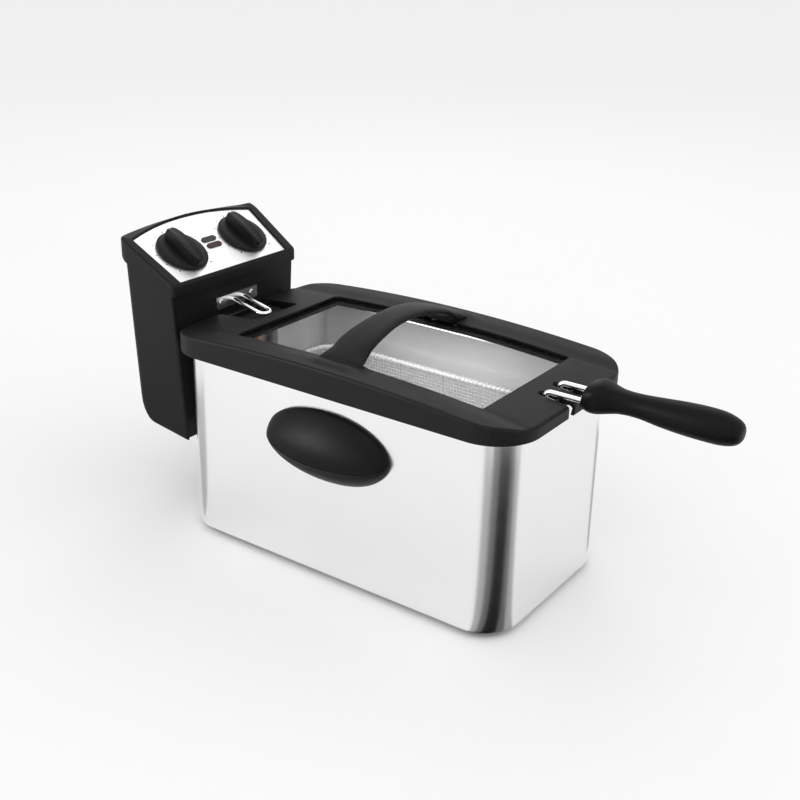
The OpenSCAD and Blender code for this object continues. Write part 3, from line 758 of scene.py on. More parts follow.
@dataclass
class OilPot(Assembly):
    """Pressed steel pot with a rolled rim."""

    wall: float = 1.0
    corner: float = 27.0
    fillet: float = 9.0
    flange: float = 7.4
    roll: float = 1.0
    level_marks: tuple[float, float] = (92.0, 118.0)
    mark_share: float = 0.52
    mark_half: float = 14.0

    def build(self) -> None:
        """Forms the pot as one pressed sheet and adds the level marks."""
        at = Extent.of("oil_pot")
        half_l, half_w = at.half.x - self.flange, at.half.y - self.flange
        low, rim = at.lo.z, at.hi.z
        bend, roll = self.fillet, self.roll
        edge, under = roll - self.flange, rim - 2 * roll
        outside = [(bend, low), *arc((bend, low + bend), -bend, 90, 0, 6)[1:],
                   (0, rim - 3.4), (-0.6, rim - 2.2), (-1.6, under), (edge, under),
                   *arc((edge, rim - roll), roll, -90, -270, 6)[1:-1],
                   (edge, rim), (-1.2, rim), (0.2, rim - 0.5), (self.wall, under)]
        inner = bend - self.wall
        inside = [(self.wall, low + bend + 1),
                  *arc((bend, low + bend), -inner, 0, 90, 6)]
        profile = [(round(d, 4), z) for d, z in outside + inside]
        rings = stacked(half_l, half_w, self.corner, profile, steps=20)
        body = form("pressed_pot", *skin(rings))
        even_normals(body)
        self.hang(body, "pot", "pot_steel", ["oil_pot"])
        self.marks(half_l, half_w)

    def marks(self, half_l: float, half_w: float) -> None:
        """Adds the raised filling marks on both long walls.

        Args:
            half_l: Half length of the pot.
            half_w: Half width of the pot.
        """
        parts = []
        for z in self.level_marks:
            for side in (-1, 1):
                y = side * (half_w - self.wall)
                middle = half_l * self.mark_share
                path = [Vector((x, y, z))
                        for x in spread(middle - self.mark_half, middle + self.mark_half, 9)]
                parts.append(tube(path, 0.5, 8))
        piece = form("pot_level_marks", *merged(*parts))
        self.hang(piece, "pot", "pot_steel")


# ---------------------------------------------------------------- control head


@dataclass
class Deck:
    """The sloping plane of the control panel, where the plate's top meets its front."""

    origin_x: float
    origin_z: float
    tilt: float

    @classmethod
    def of_frame(cls) -> "Deck":
        """Places the plane from the panel plate and the way its controls turn."""
        at = Extent.of("control_panel")
        joint = next(j for j in frame["joints"] if j["child"] == "timer_control")
        tilt = math.atan2(joint["axis"][0], joint["axis"][2])
        plate = 1.15
        return cls(at.hi.x, at.lo.z + plate * math.cos(tilt), tilt)

    def at(self, s: float, y: float, n: float) -> Point:
        """A point s up the slope, y across and n out of the panel."""
        return (self.origin_x - s * math.cos(self.tilt) + n * math.sin(self.tilt), y,
                self.origin_z + s * math.sin(self.tilt) + n * math.cos(self.tilt))


@dataclass(frozen=True)
class HeadOutline:
    """Four-sided outline, wider and bowed at the back, with round corners."""

    FACETS: ClassVar[int] = 8

    front_x: float
    back_x: float
    front_w: float
    back_w: float
    front_r: float
    back_r: float
    bow: float

    def loop(self, inset: float = 0.0) -> list[Flat]:
        """Builds the loop.

        Args:
            inset: How far the loop lies inside the outline.

        Returns:
            The loop, anticlockwise, always with the same count of points.
        """
        fx, bx = self.front_x - inset, self.back_x + inset
        fw, bw = self.front_w - inset, self.back_w - inset
        corners = [(fx, fw, self.front_r), (bx, bw, self.back_r),
                   (bx, -bw, self.back_r), (fx, -fw, self.front_r)]
        sides, facets = (10, 24, 10, 10), self.FACETS
        loop: list[Flat] = []
        for k, (x, y, radius) in enumerate(corners):
            radius = max(radius - inset, 0.3)
            before, after = corners[k - 1], corners[(k + 1) % 4]
            here = Vector((x, y))
            enter = (Vector(before[:2]) - here).normalized()
            leave = (Vector(after[:2]) - here).normalized()
            half = enter.angle(leave) / 2
            reach = radius / math.tan(half)
            hub = here + (enter + leave).normalized() * (radius / math.sin(half))
            a, b = here + enter * reach - hub, here + leave * reach - hub
            start = math.atan2(a.y, a.x)
            sweep = (math.atan2(b.y, b.x) - start + math.pi) % (2 * math.pi) - math.pi
            bend = [hub + Vector((math.cos(start + sweep * i / facets),
                                  math.sin(start + sweep * i / facets))) * radius
                    for i in range(facets + 1)]
            stop = Vector(after[:2]) - leave * max(after[2] - inset, 0.3)
            side = [bend[-1].lerp(stop, i / sides[k]) for i in range(1, sides[k])]
            loop += [(p.x, p.y) for p in bend + side]
        return [(x + (fx - x) / (fx - bx) * y * y / (2 * self.bow), y) for x, y in loop]


@dataclass
class ControlHead(Assembly):
    """Case, cover, panel, lamps, drain hook and the element that hangs from them."""

    wall: float = 2.5
    lip_slope: float = math.tan(math.radians(24.0))
    lip_z: float = 210.2
    nose: float = 2.2
    panel_half: tuple[float, float] = (69.2, 74.9)
    panel_run: float = 71.0
    dial_s: float = 33.0
    dial_y: float = 39.0
    dial_radius: float = 24.0
    case_half: tuple[float, float] = (70.5, 79.5)
    floor_fall: tuple[float, float] = (8.0, 55.0)
    rear_bend_z: float = 81.0
    deck: Deck = field(default_factory=Deck.of_frame)

    def lip(self, x: float) -> float:
        """Height of the seam between case and cover."""
        return self.lip_z + (self.deck.origin_x + 1.3 - x) * self.lip_slope

    def case(self) -> None:
        """Forms the case's wall round the sides and the back, and its floor."""
        at = Extent.of("control_case")
        front, back, low = at.hi.x, at.lo.x, at.lo.z
        # height at the back, tuck
        foot = [(80.0, 11.0), (84.0, 6.6), (90.0, 2.6), (96.0, 0.6), (110.0, 0.0),
                (240.0, 0.0)]
        levels = [0.0, 0.008, 0.02, 0.04, 0.065, 0.1, 0.15, 0.25, 0.5, 0.75, 0.93, 1.0]
        fall, run = self.floor_fall

        def floor(x: float) -> float:
            """Height of the case's lower edge."""
            return low + fall * (front - x) / run

        rings: list[list[Point]] = []
        for t in levels:
            rear_z = self.rear_bend_z + (self.lip(back) - self.rear_bend_z) * t
            tuck = along(foot, rear_z, 1)
            width = self.case_half[0] + (self.case_half[1] - self.case_half[0]) * t
            round_off = 1.6 * (1 - min(t / 0.02, 1)) ** 2
            line = HeadOutline(front, back + tuck, width, width, 2.0, 9.0, 470.0)
            outer, inner = line.loop(round_off), line.loop(self.wall + round_off * 0.3)
            # The front is open: its points are left out, and the inner wall meets it squarely.
            tips = HeadOutline.FACETS + 1
            count = len(outer) - tips
            way_back = [inner[k] if tips <= k < count - tips
                        else (front, math.copysign(width - self.wall, inner[k][1]))
                        for k in reversed(range(count))]
            rings.append([(x, y, floor(x) * (1 - t) + self.lip(x) * t)
                          for x, y in outer[:count] + way_back])
        floor_line = HeadOutline(front - 3.2, back + 12, 69.0, 69.0, 1.0, 8.0, 470.0)
        plate = [[(x, y, floor(x) + lift) for x, y in floor_line.loop()]
                 for lift in (0.1, 2.6)]
        piece = form("head_case", *merged(skin(rings), skin(plate)))
        even_normals(piece)
        self.hang(piece, "control_unit", "black_plastic", ["control_case"])

    def cover(self) -> None:
        """Forms the sloping cover with its raised frame round the panel."""
        at = Extent.of("control_cover")
        front, back = at.hi.x - 0.2, at.lo.x
        edge = HeadOutline(front, back, front_w=79.9, back_w=85.9, front_r=3.6, back_r=15.0,
                           bow=460.0)
        hole = HeadOutline(self.deck.at(0, 0, 0)[0], self.deck.at(self.panel_run, 0, 0)[0],
                           *self.panel_half, front_r=0.8, back_r=0.8, bow=285.0)
        slope = math.tan(self.deck.tilt)
        lift = 1.9
        rear = hole.back_x - 1.2

        def crest(x: float, y: float) -> float:
            """Height of the frame: it follows the panel and falls away behind it."""
            over = max(rear + y * y / 1140 - x, 0.0)
            return (self.deck.origin_z + lift + (self.deck.origin_x - x) * slope
                    - over * (slope + 0.45))

        def floor(x: float) -> float:
            """Height of the seat under the panel plate."""
            return self.deck.origin_z - 1.3 / math.cos(self.deck.tilt) + (
                self.deck.origin_x - x) * slope

        r = self.nose
        rings = [[(x, y, self.lip(x) + z) for x, y in edge.loop(d)]
                 for d, z in ((3.0, 0.1), (1.0, 0.0), (0.3, 0.3), (0.0, 1.0))]
        rings += [[(x, y, crest(x, y) + z) for x, y in edge.loop(d)]
                  for d, z in arc((r, -r), r, 180, 90, 6)]
        rings += [[(x, y, crest(x, y) + z) for x, y in hole.loop(-d)]
                  for d, z in ((0.9, 0.0), (0.45, -0.12), (0.15, -0.4), (0.0, -0.9))]
        rings += [[(x, y, floor(x)) for x, y in hole.loop(d)] for d in (0.0, 4.0)]
        piece = form("head_cover", *skin(rings))
        even_normals(piece)
        self.hang(piece, "control_unit", "black_plastic", ["control_cover"])

    def dial_marks(self) -> None:
        """Prints the marks round both knobs: eleven short bars each, every fifth one longer,
        thick as ink.
        """
        parts = []
        half, sunk, proud = 0.45, -0.1, 0.04
        r0 = self.dial_radius + 2.0
        for sy in (-1, 1):
            for i, degrees in enumerate(spread(-135, 135, 11)):
                a = math.radians(degrees)
                r1 = r0 + (2.6 if i % 5 == 0 else 1.5)
                parts.append(skin([[self.deck.at(
                    self.dial_s + r * math.cos(a) - w * math.sin(a),
                    sy * self.dial_y + r * math.sin(a) + w * math.cos(a), n)
                    for r, w in ((r0, -half), (r1, -half), (r1, half), (r0, half))]
                    for n in (sunk, proud)]))
        piece = form("dial_marks", *merged(*parts))
        self.hang(piece, "control_unit", "black_plastic")

    def knob(self, side: int, body: str, node: str) -> None:
        """Forms a knob: a coned flange with a raised bar that is crowned along its top.

        Args:
            side: -1 for the temperature knob, 1 for the timer.
            body: The body that turns with it.
            node: The node that it replaces.
        """
        radius = self.dial_radius

        def place(s: float, y: float, n: float) -> Point:
            """A point about the knob's own axis."""
            return self.deck.at(self.dial_s + s, side * self.dial_y + y, n)

        profile = [(radius - 5, 0.7), (radius - 0.5, 0.7), (radius - 0.1, 0.95),
                   (radius, 1.4), (radius, 2.1), (radius - 0.25, 2.65), (radius - 0.8, 3.0),
                   (radius - 2.2, 3.6), (radius - 4.0, 4.1), (radius - 7.0, 4.35)]
        turn = [2 * math.pi * k / 96 for k in range(96)]
        flange = [[place(r * math.cos(a), r * math.sin(a), n) for a in turn]
                  for r, n in profile]
        bar: list[list[Point]] = []
        end, bevel, stations = radius - 1.6, 1.1, 44
        for i in range(stations + 1):
            s = -math.cos(math.pi * i / stations) * end
            near_end = math.sqrt(max(1 - (abs(s) / end) ** 14, 0.0))
            width = (6.0 - 1.0 * ease(abs(s), 10, end)) * (0.35 + 0.65 * near_end)
            top = 13.5 - s * s / 180 - 2.0 * (1 - near_end)
            section = [(-width - 0.5, 3.9), (-width - 0.1, 4.9), (-width + 0.3, top - 1.6)]
            section += [(-width + 0.3 + bevel - bevel * math.cos(math.radians(a)),
                         top - bevel + bevel * math.sin(math.radians(a)))
                        for a in (10, 35, 60, 90)]
            section += [(-width * 0.45, top - 0.35), (0.0, top - 0.5)]
            section += [(-y, n) for y, n in reversed(section[:-1])]
            bar.append([place(s, y, n) for y, n in section])
        piece = form(node.replace("knob", "dial"), *merged(skin(flange), skin(bar)), crease=38)
        even_normals(piece)
        self.hang(piece, body, "knob_plastic", [node])

    def build(self) -> None:
        """Forms and dresses the control head."""
        self.case()
        self.cover()
        self.dial_marks()
        self.knob(-1, "temperature_control", "temperature_knob")
        self.knob(1, "timer_control", "timer_knob")
        self.keep("black_plastic", "case_front", "case_screws")
        self.keep("panel_silver", "control_panel")
        self.keep("lamp_red", "power_lamp")
        self.keep("lamp_green", "ready_lamp")
        self.keep("reset_red", "reset_button")
        self.keep("inner_plastic", "thermostat", "thermal_cutout", "interlock_switch")
        self.keep("ceramic", "terminal_block")
        self.keep("rubber", "inlet_gland")
        self.keep("wire_chrome", "drain_hook")
        self.keep("bracket_steel", "hook_plate", "hook_rivets", "element_bracket",
                  "element_clamps")
        self.keep("screw_steel", "timer", "thermostat_spindle", "timer_spindle",
                  "interlock_plunger")
        self.keep("element_steel", "heating_element")
        self.keep("copper", "thermostat_bulb")


# ---------------------------------------------------------------- basket


@dataclass
class Basket(Assembly):
    """Woven wire basket with a bound rim and a moulded grip on two wires."""

    pitch: float = 3.1
    strand: float = 0.34
    crimp: float = 0.26
    corner: float = 24.0
    fillet: float = 6.0
    lay: float = 0.7
    binding_turn: float = 4.6
    binding: float = 0.55
    grip_axis_z: float = 188.5
    grip_lean: float = 0.22

    def walk(self, half_l: float, half_w: float, radius: float, mid_x: float,
             count: int) -> list[tuple[Vector, Vector]]:
        """Even stations round a rectangle with round corners.

        Args:
            half_l: Half length.
            half_w: Half width.
            radius: Corner radius.
            mid_x: Middle along X.
            count: Number of stations.

        Returns:
            Each station's point and its outward direction.
        """
        runs = (2 * (half_w - radius), 2 * (half_l - radius))
        bend = math.pi / 2 * radius
        total = 2 * sum(runs) + 4 * bend
        stations = []
        for i in range(count):
            d = total * i / count
            for q in range(4):
                run = runs[q % 2]
                turn = math.pi / 2 * q
                out = Vector((math.cos(turn), math.sin(turn)))
                way = Vector((-out.y, out.x))
                reach = (half_l, half_w)[q % 2]
                other = (half_w, half_l)[q % 2]
                if d <= run:
                    p = out * reach + way * (d - (other - radius))
                    stations.append((Vector((p.x + mid_x, p.y, 0)), Vector((*out, 0))))
                    break
                d -= run
                if d <= bend:
                    a = turn + d / radius
                    hub = out * (reach - radius) + way * (other - radius)
                    outward = Vector((math.cos(a), math.sin(a)))
                    p = hub + outward * radius
                    stations.append((Vector((p.x + mid_x, p.y, 0)), Vector((*outward, 0))))
                    break
                d -= bend
        return stations

    def weave(self) -> None:
        """Weaves the walls and the floor from single crimped strands."""
        at = Extent.of("basket_mesh")
        half_l, half_w = at.half.x - self.lay, at.half.y - self.lay
        low, top, mid_x = at.lo.z + self.lay, at.hi.z + 1.0, at.mid.x
        length = 4 * (half_l + half_w - 2 * self.corner) + 2 * math.pi * self.corner
        count = round(length / self.pitch / 2) * 2
        stations = self.walk(half_l, half_w, self.corner, mid_x, count)
        heights = [low + self.fillet + self.pitch * (k + 0.4)
                   for k in range(int((top - low - self.fillet) / self.pitch))]
        bend = [math.radians(a) for a in (0, 22.5, 45, 67.5, 90)]
        parts = []
        for i, (here, out) in enumerate(stations):
            path = [here + Vector((0, 0, top))]
            for k, z in reversed(list(enumerate(heights))):
                sway = self.crimp * (1 if (i + k) % 2 else -1)
                path.append(here + out * sway + Vector((0, 0, z)))
            for a in bend:
                path.append(here - out * (self.fillet * (1 - math.cos(a)))
                            + Vector((0, 0, low + self.fillet * (1 - math.sin(a)))))
            parts.append(tube(path, self.strand, 4))
        for k, z in enumerate(heights):
            path = [here - out * (self.crimp * (1 if (i + k) % 2 else -1))
                    + Vector((0, 0, z)) for i, (here, out) in enumerate(stations)]
            parts.append(tube(path, self.strand, 4, cyclic=True))
        for a in bend[1:]:
            inset = self.fillet * (1 - math.cos(a))
            z = low + self.fillet * (1 - math.sin(a)) + self.crimp
            path = [here - out * inset + Vector((0, 0, z)) for here, out in stations]
            parts.append(tube(path, self.strand, 4, cyclic=True))
        parts += self.floor_strands(half_l - self.fillet, half_w - self.fillet,
                                    self.corner - self.fillet, mid_x, low)
        piece = form("woven_basket", *merged(*parts), crease=80)
        self.hang(piece, "basket", "mesh_wire", ["basket_mesh"])

    def floor_strands(self, half_l: float, half_w: float, radius: float, mid_x: float,
                      z: float) -> list[Skin]:
        """Strands of the floor in both directions, cut at the round outline.

        Args:
            half_l: Half length of the floor.
            half_w: Half width of the floor.
            radius: Corner radius of the floor.
            mid_x: Middle along X.
            z: Height of the floor.

        Returns:
            One skin for each strand.
        """
        parts = []
        for axis, (reach, across) in enumerate(((half_l, half_w), (half_w, half_l))):
            count = int(across / self.pitch)
            for i in range(-count, count + 1):
                offset = i * self.pitch
                over = max(abs(offset) - (across - radius), 0.0)
                stop = reach - radius + math.sqrt(max(radius**2 - over**2, 0.0))
                steps = max(int(2 * stop / self.pitch), 2)
                path = []
                for k, u in enumerate(spread(-stop, stop, steps + 1)):
                    lift = self.crimp * (1 if (i + k + axis) % 2 else -1)
                    flat = (u, offset) if axis == 0 else (offset, u)
                    path.append(Vector((flat[0] + mid_x, flat[1], z + lift)))
                parts.append(tube(path, self.strand, 4))
        return parts

    def bind_rim(self) -> None:
        """Winds the binding strand round the rim wire."""
        at = Extent.of("basket_rim")
        wire = at.half.z
        half_l, half_w = at.half.x - wire, at.half.y - wire
        length = 4 * (half_l + half_w - 2 * self.corner) + 2 * math.pi * self.corner
        turns = round(length / self.binding_turn)
        per_turn = 12
        stations = self.walk(half_l, half_w, self.corner + 1.0, at.mid.x, turns * per_turn)
        reach = wire + self.binding * 0.7
        path = []
        for i, (here, out) in enumerate(stations):
            a = 2 * math.pi * i / per_turn
            path.append(here + out * (reach * math.cos(a))
                        + Vector((0, 0, at.mid.z + reach * math.sin(a))))
        piece = form("rim_binding", *tube(path, self.binding, 5, cyclic=True), crease=80)
        self.hang(piece, "basket", "mesh_wire")

    def grip(self) -> None:
        """Forms the moulded grip: a flared collar, a slim neck and a swelling end."""
        at = Extent.of("handle_grip")
        start, tip = at.lo.x, at.hi.x
        span = tip - start
        # place, top, underside, half width
        shape = [(0.0, 10.2, -10.4, 14.2), (0.05, 12.2, -12.6, 15.4),
                 (0.10, 12.2, -12.8, 15.0), (0.17, 10.6, -10.8, 12.4),
                 (0.24, 9.4, -9.2, 10.0), (0.36, 9.4, -9.0, 9.2),
                 (0.50, 10.6, -11.0, 10.6), (0.64, 12.0, -12.2, 12.0),
                 (0.78, 12.6, -12.6, 12.6), (0.88, 11.8, -12.3, 12.2),
                 (0.95, 9.2, -10.6, 10.4), (0.985, 6.4, -8.0, 8.0), (1.0, 3.6, -5.0, 4.6)]
        rings: list[list[Point]] = []
        for u in [0.0, 0.012, *spread(0.03, 0.93, 46), 0.945, 0.96, 0.973, 0.984, 0.992, 0.998]:
            top, low, wide = (along(shape, u, c) for c in (1, 2, 3))
            squareness = 2.7 - 0.6 * ease(u, 0.1, 0.3)
            ring: list[Point] = []
            for k in range(48):
                a = 2 * math.pi * k / 48
                ca, sa = math.cos(a), math.sin(a)
                y = wide * math.copysign(abs(ca) ** (2 / squareness), ca)
                rise = top if sa > 0 else -low
                z = rise * math.copysign(abs(sa) ** (2 / squareness), sa)
                lean = self.grip_lean * z * (1 - ease(u, 0.0, 0.2))
                ring.append((start + u * span + max(lean, -1.9) + 1.9 * (1 - ease(u, 0, 0.2)),
                             y, self.grip_axis_z + z))
            rings.append(ring)
        piece = form("moulded_grip", *skin(rings), crease=45)
        self.hang(piece, "basket", "grip_plastic", ["handle_grip"])

    def build(self) -> None:
        """Forms and dresses the basket."""
        self.weave()
        self.bind_rim()
        self.grip()
        self.keep("mesh_wire", "basket_rim")
        self.keep("wire_chrome", "basket_frame", "handle_wires")
        self.keep("bracket_steel", "handle_bracket")


# ---------------------------------------------------------------- lid


class Edge(Enum):
    """What an edge of the lid's top runs along."""

    SKIRT = "skirt"
    SLOT = "slot"
    NOTCH = "notch"


@dataclass
class Lid(Assembly):
    """Crowned lid with rails beside the window, an arched handle and the pane."""

    corner: float = 38.9
    wall: float = 2.4
    crown_r: float = 1647.0
    crown_x: float = -13.6
    crown_z: float = 193.5
    window: tuple[float, float, float] = (-113.0, 131.0, 68.0)
    slot_start: float = 146.0
    slot_y: float = 11.5
    slot_half: float = 3.8
    notch_end: float = -127.6
    notch_half: float = 28.6
    inside_corner: float = 3.0
    slot_depth: float = 3.0
    notch_depth: float = 9.0
    window_depth: float = 3.0
    brow: float = 2.4
    soft: float = 0.6
    arch_x: float = 4.0
    foot_y: float = 78.0
    foot_rise: float = 2.4
    foot_half: Flat = (15.0, 6.0)
    foot_fade: Flat = (10.0, 7.0)
    rail_drop: float = 2.3
    rail_run: float = 17.0
    groove: float = 0.55
    seat_gap: float = 3.4
    seat_corner: float = 31.0
    seat_wall: float = 2.4
    seat_drop: float = 3.2
    arch_outer: Flat = (90.0, 191.0)
    arch_inner: Flat = (70.0, 193.0)
    arch_under: float = 209.0
    arch_end: float = 86.0
    at: Extent = field(default_factory=lambda: Extent.of("lid_shell"))

    def crown(self, x: float) -> float:
        """Height of the crown along the lid."""
        return self.crown_z - (x - self.crown_x) ** 2 / (2 * self.crown_r)

    @staticmethod
    def outside(x: float, y: float, mid: Flat, half: Flat, radius: float) -> float:
        """Distance to a round-cornered rectangle, below 0 inside it."""
        qx = abs(x - mid[0]) - half[0] + radius
        qy = abs(y - mid[1]) - half[1] + radius
        return math.hypot(max(qx, 0), max(qy, 0)) + min(max(qx, qy), 0) - radius

    def to_skirt(self, x: float, y: float) -> float:
        """Distance from the lid's outer edge, above 0 on the lid."""
        return -self.outside(x, y, (self.at.mid.x, 0), (self.at.half.x, self.at.half.y),
                             self.corner)

    def to_cut(self, x: float, y: float) -> float:
        """Distance from the nearest opening, above 0 on the lid."""
        rear, front, half = self.window
        window = self.outside(x, y, ((rear + front) / 2, 0), ((front - rear) / 2, half),
                              self.inside_corner)
        slot = self.outside(x, abs(y), (self.slot_start + 30, self.slot_y),
                            (30, self.slot_half), self.slot_half)
        notch = self.outside(x, y, (self.notch_end - 40, 0), (40, self.notch_half),
                             self.inside_corner)
        return min(window, slot, notch)

    def crease(self, x: float) -> float:
        """Half width between the two creases that run on from the window's sides."""
        rear, front, half = self.window
        return half + 0.09 * max(x - front, rear - x, 0.0)

    def height(self, x: float, y: float) -> float:
        """Height of the lid's top, with its rails, creases, soft edges and arch feet."""
        rail = self.rail_drop * (1 - ease(abs(y), self.crease(x) - 1,
                                          self.crease(x) + self.rail_run))
        past = self.crease(x) - abs(y)
        groove = self.groove * ease(past, 0.0, 4.0) if past > 0 else 0.0
        edge = max(self.brow - self.to_skirt(x, y), 0.0)
        round_off = self.brow - math.sqrt(max(self.brow**2 - edge**2, 0.0))
        lip = max(self.soft - self.to_cut(x, y), 0.0)
        lip_off = self.soft - math.sqrt(max(self.soft**2 - lip**2, 0.0))
        away = math.hypot(
            max(abs(x - self.arch_x) - self.foot_half[0], 0) / self.foot_fade[0],
            max(abs(abs(y) - self.foot_y) - self.foot_half[1], 0) / self.foot_fade[1])
        foot = self.foot_rise * (1 - ease(away, 0.0, 1.25))
        return self.crown(x) - rail + groove - round_off - lip_off + foot

    def runs(self) -> list[tuple[Edge, list[Flat]]]:
        """The lid's edges in order round the outline.

        Returns:
            Each run's kind and its points; a run ends where the next one starts.
        """
        lo, hi = self.at.lo, self.at.hi
        r = self.corner
        side = hi.y - r
        out: list[tuple[Edge, list[Flat]]] = []
        s, w, start = self.slot_y, self.slot_half, self.slot_start
        for middle in (-s, s):
            out.append((Edge.SKIRT,
                        straight((hi.x, -side if middle < 0 else -s + w),
                                 (hi.x, middle - w), 3.0)))
            out.append((Edge.SLOT,
                        straight((hi.x, middle - w), (start + w, middle - w), 3.0)[:-1]
                        + arc((start + w, middle), w, 270, 90, 12)
                        + straight((start + w, middle + w), (hi.x, middle + w), 3.0)[1:]))
        n, end, bend = self.notch_half, self.notch_end, self.inside_corner
        out.append((Edge.SKIRT,
                    straight((hi.x, s + w), (hi.x, side), 3.0)[:-1]
                    + arc((hi.x - r, side), r, 0, 90, 26)[:-1]
                    + straight((hi.x - r, hi.y), (lo.x + r, hi.y))[:-1]
                    + arc((lo.x + r, side), r, 90, 180, 26)[:-1]
                    + straight((lo.x, side), (lo.x, n), 3.0)))
        out.append((Edge.NOTCH,
                    straight((lo.x, n), (end - bend, n), 4.0)[:-1]
                    + arc((end - bend, n - bend), bend, 90, 0, 5)[:-1]
                    + straight((end, n - bend), (end, -n + bend), 4.0)[:-1]
                    + arc((end - bend, -n + bend), bend, 0, -90, 5)[:-1]
                    + straight((end - bend, -n), (lo.x, -n), 4.0)))
        out.append((Edge.SKIRT,
                    straight((lo.x, -n), (lo.x, -side), 3.0)[:-1]
                    + arc((lo.x + r, -side), r, 180, 270, 26)[:-1]
                    + straight((lo.x + r, lo.y), (hi.x - r, lo.y))[:-1]
                    + arc((hi.x - r, -side), r, 270, 360, 26)))
        return out

    def shell(self) -> None:
        """Forms the lid's moulding from its top, its skirt and the walls of its openings."""
        runs = self.runs()
        outline: list[Flat] = []
        kinds: list[Edge] = []
        for kind, points in runs:
            outline += points[:-1]
            kinds += [kind] * (len(points) - 1)
        rear, front, half = self.window
        loop = round_loop((front - rear) / 2, half, self.inside_corner,
                          ((front + rear) / 2, 0), 5, 0.8)
        window = [p for a, b in zip(loop, loop[1:] + loop[:1]) for p in straight(a, b, 5)[:-1]]
        flat = outline + window + self.filling(outline, kinds, window)
        base = len(outline)
        seams = [(i, (i + 1) % base) for i in range(base)]
        seams += [(base + i, base + (i + 1) % len(window)) for i in range(len(window))]
        verts, _, faces, origin, _, _ = delaunay_2d_cdt(
            [Vector(p) for p in flat], seams, [], 1, 1e-5)
        points: list[Point] = [(v.x, v.y, self.height(v.x, v.y)) for v in verts]
        kept = []
        for face in faces:
            cx = sum(verts[i].x for i in face) / 3
            cy = sum(verts[i].y for i in face) / 3
            if self.to_skirt(cx, cy) > 0 and self.to_cut(cx, cy) > 0:
                kept.append(list(face))
        number = {old: new for new, olds in enumerate(origin) for old in olds}
        walls: list[list[int]] = []
        cursor = 0
        bottom = self.at.lo.z
        for kind, run in runs:
            ids = [number[(cursor + k) % len(outline)] for k in range(len(run))]
            cursor += len(run) - 1
            depths = {Edge.SKIRT: lambda z: (bottom + 1.0, bottom + 0.2, bottom),
                      Edge.SLOT: lambda z: (z - self.slot_depth,),
                      Edge.NOTCH: lambda z: (z - self.notch_depth,)}[kind]
            self.drop_wall(points, walls, ids, depths, closed=False)
        ids = [number[base + k] for k in range(len(window))]
        self.drop_wall(points, walls, list(reversed(ids)),
                       lambda z: (z - self.window_depth,), closed=True)
        piece = form("lid_moulding", points, kept + walls, crease=30, closed=False)
        self.turn_up(piece)
        thick = piece.modifiers.new("wall", "SOLIDIFY")
        thick.thickness = self.wall * MM
        thick.offset = -1
        thick.use_even_offset = False
        even_normals(piece)
        self.hang(piece, "lid", "black_plastic", ["lid_shell"])

    @staticmethod
    def turn_up(piece: bpy.types.Object) -> None:
        """Turns all faces the same way, with the top facing up."""
        work = bmesh.new()
        work.from_mesh(piece.data)
        bmesh.ops.recalc_face_normals(work, faces=work.faces)
        top = max(work.faces, key=lambda f: f.calc_area() * abs(f.normal.z))
        if top.normal.z < 0:
            bmesh.ops.reverse_faces(work, faces=work.faces)
        work.to_mesh(piece.data)
        work.free()

    @staticmethod
    def drop_wall(points: list[Point], walls: list[list[int]], ids: Sequence[int],
                  depths: Callable[[float], Sequence[float]], closed: bool) -> None:
        """Adds a wall that hangs from an edge.

        Args:
            points: Points of the moulding, which grow.
            walls: Faces of the walls, which grow.
            ids: Points of the edge in order.
            depths: Heights of the wall's rows for an edge point's height.
            closed: True if the edge is a closed loop.
        """
        rows = [list(ids)]
        for level in range(len(depths(points[ids[0]][2]))):
            row = []
            for i in ids:
                x, y, z = points[i]
                points.append((x, y, depths(z)[level]))
                row.append(len(points) - 1)
            rows.append(row)
        count = len(ids)
        for upper, lower in zip(rows, rows[1:]):
            for k in range(count if closed else count - 1):
                j = (k + 1) % count
                walls.append([upper[k], lower[k], lower[j], upper[j]])

    def filling(self, outline: Sequence[Flat], kinds: Sequence[Edge],
                window: Sequence[Flat]) -> list[Flat]:
        """Points between the edges: rows beside each edge, the creases and a grid.

        Args:
            outline: The outer loop.
            kinds: Kind of each of its edges.
            window: The window's loop.

        Returns:
            The points.
        """
        made: list[Flat] = []
        # how far each row lies from its edge
        skirt_rows = (0.12, 0.42, 0.9, 1.5, 2.4, 3.2)
        cut_rows = (0.05, 0.18, 0.36, 0.6, 1.2, 1.9)
        for loop, sign in ((outline, 1), (window, -1)):
            total = len(loop)
            for i, here in enumerate(loop):
                a, b = loop[i - 1], loop[(i + 1) % total]
                way = Vector((b[0] - a[0], b[1] - a[1])).normalized()
                inward = Vector((-way.y, way.x)) * sign
                skirt = loop is outline and kinds[i] is Edge.SKIRT and \
                    kinds[i - 1] is Edge.SKIRT
                for d in skirt_rows if skirt else cut_rows:
                    made.append((here[0] + inward.x * d, here[1] + inward.y * d))
        for sx in (-1, 1):
            edge = self.window[1] if sx > 0 else self.window[0]
            stop = self.at.hi.x if sx > 0 else self.at.lo.x
            for x in spread(edge + sx * 1.5, stop - sx * 4, 16):
                for sy in (-1, 1):
                    for d in (-2.4, -1.2, 0.0, 1.2, 2.4):
                        made.append((x, sy * (self.crease(x) + d)))
        lo, hi = self.at.lo, self.at.hi
        xs = spread(lo.x + 2, hi.x - 2, 58)
        ys = spread(lo.y + 1, hi.y - 1, 74)
        for x in xs:
            for y in ys:
                if self.to_skirt(x, y) > 3.9 and self.to_cut(x, y) > 2.6:
                    made.append((x, y))
        return [p for p in made if self.to_skirt(*p) > 0.03 and self.to_cut(*p) > 0.02]

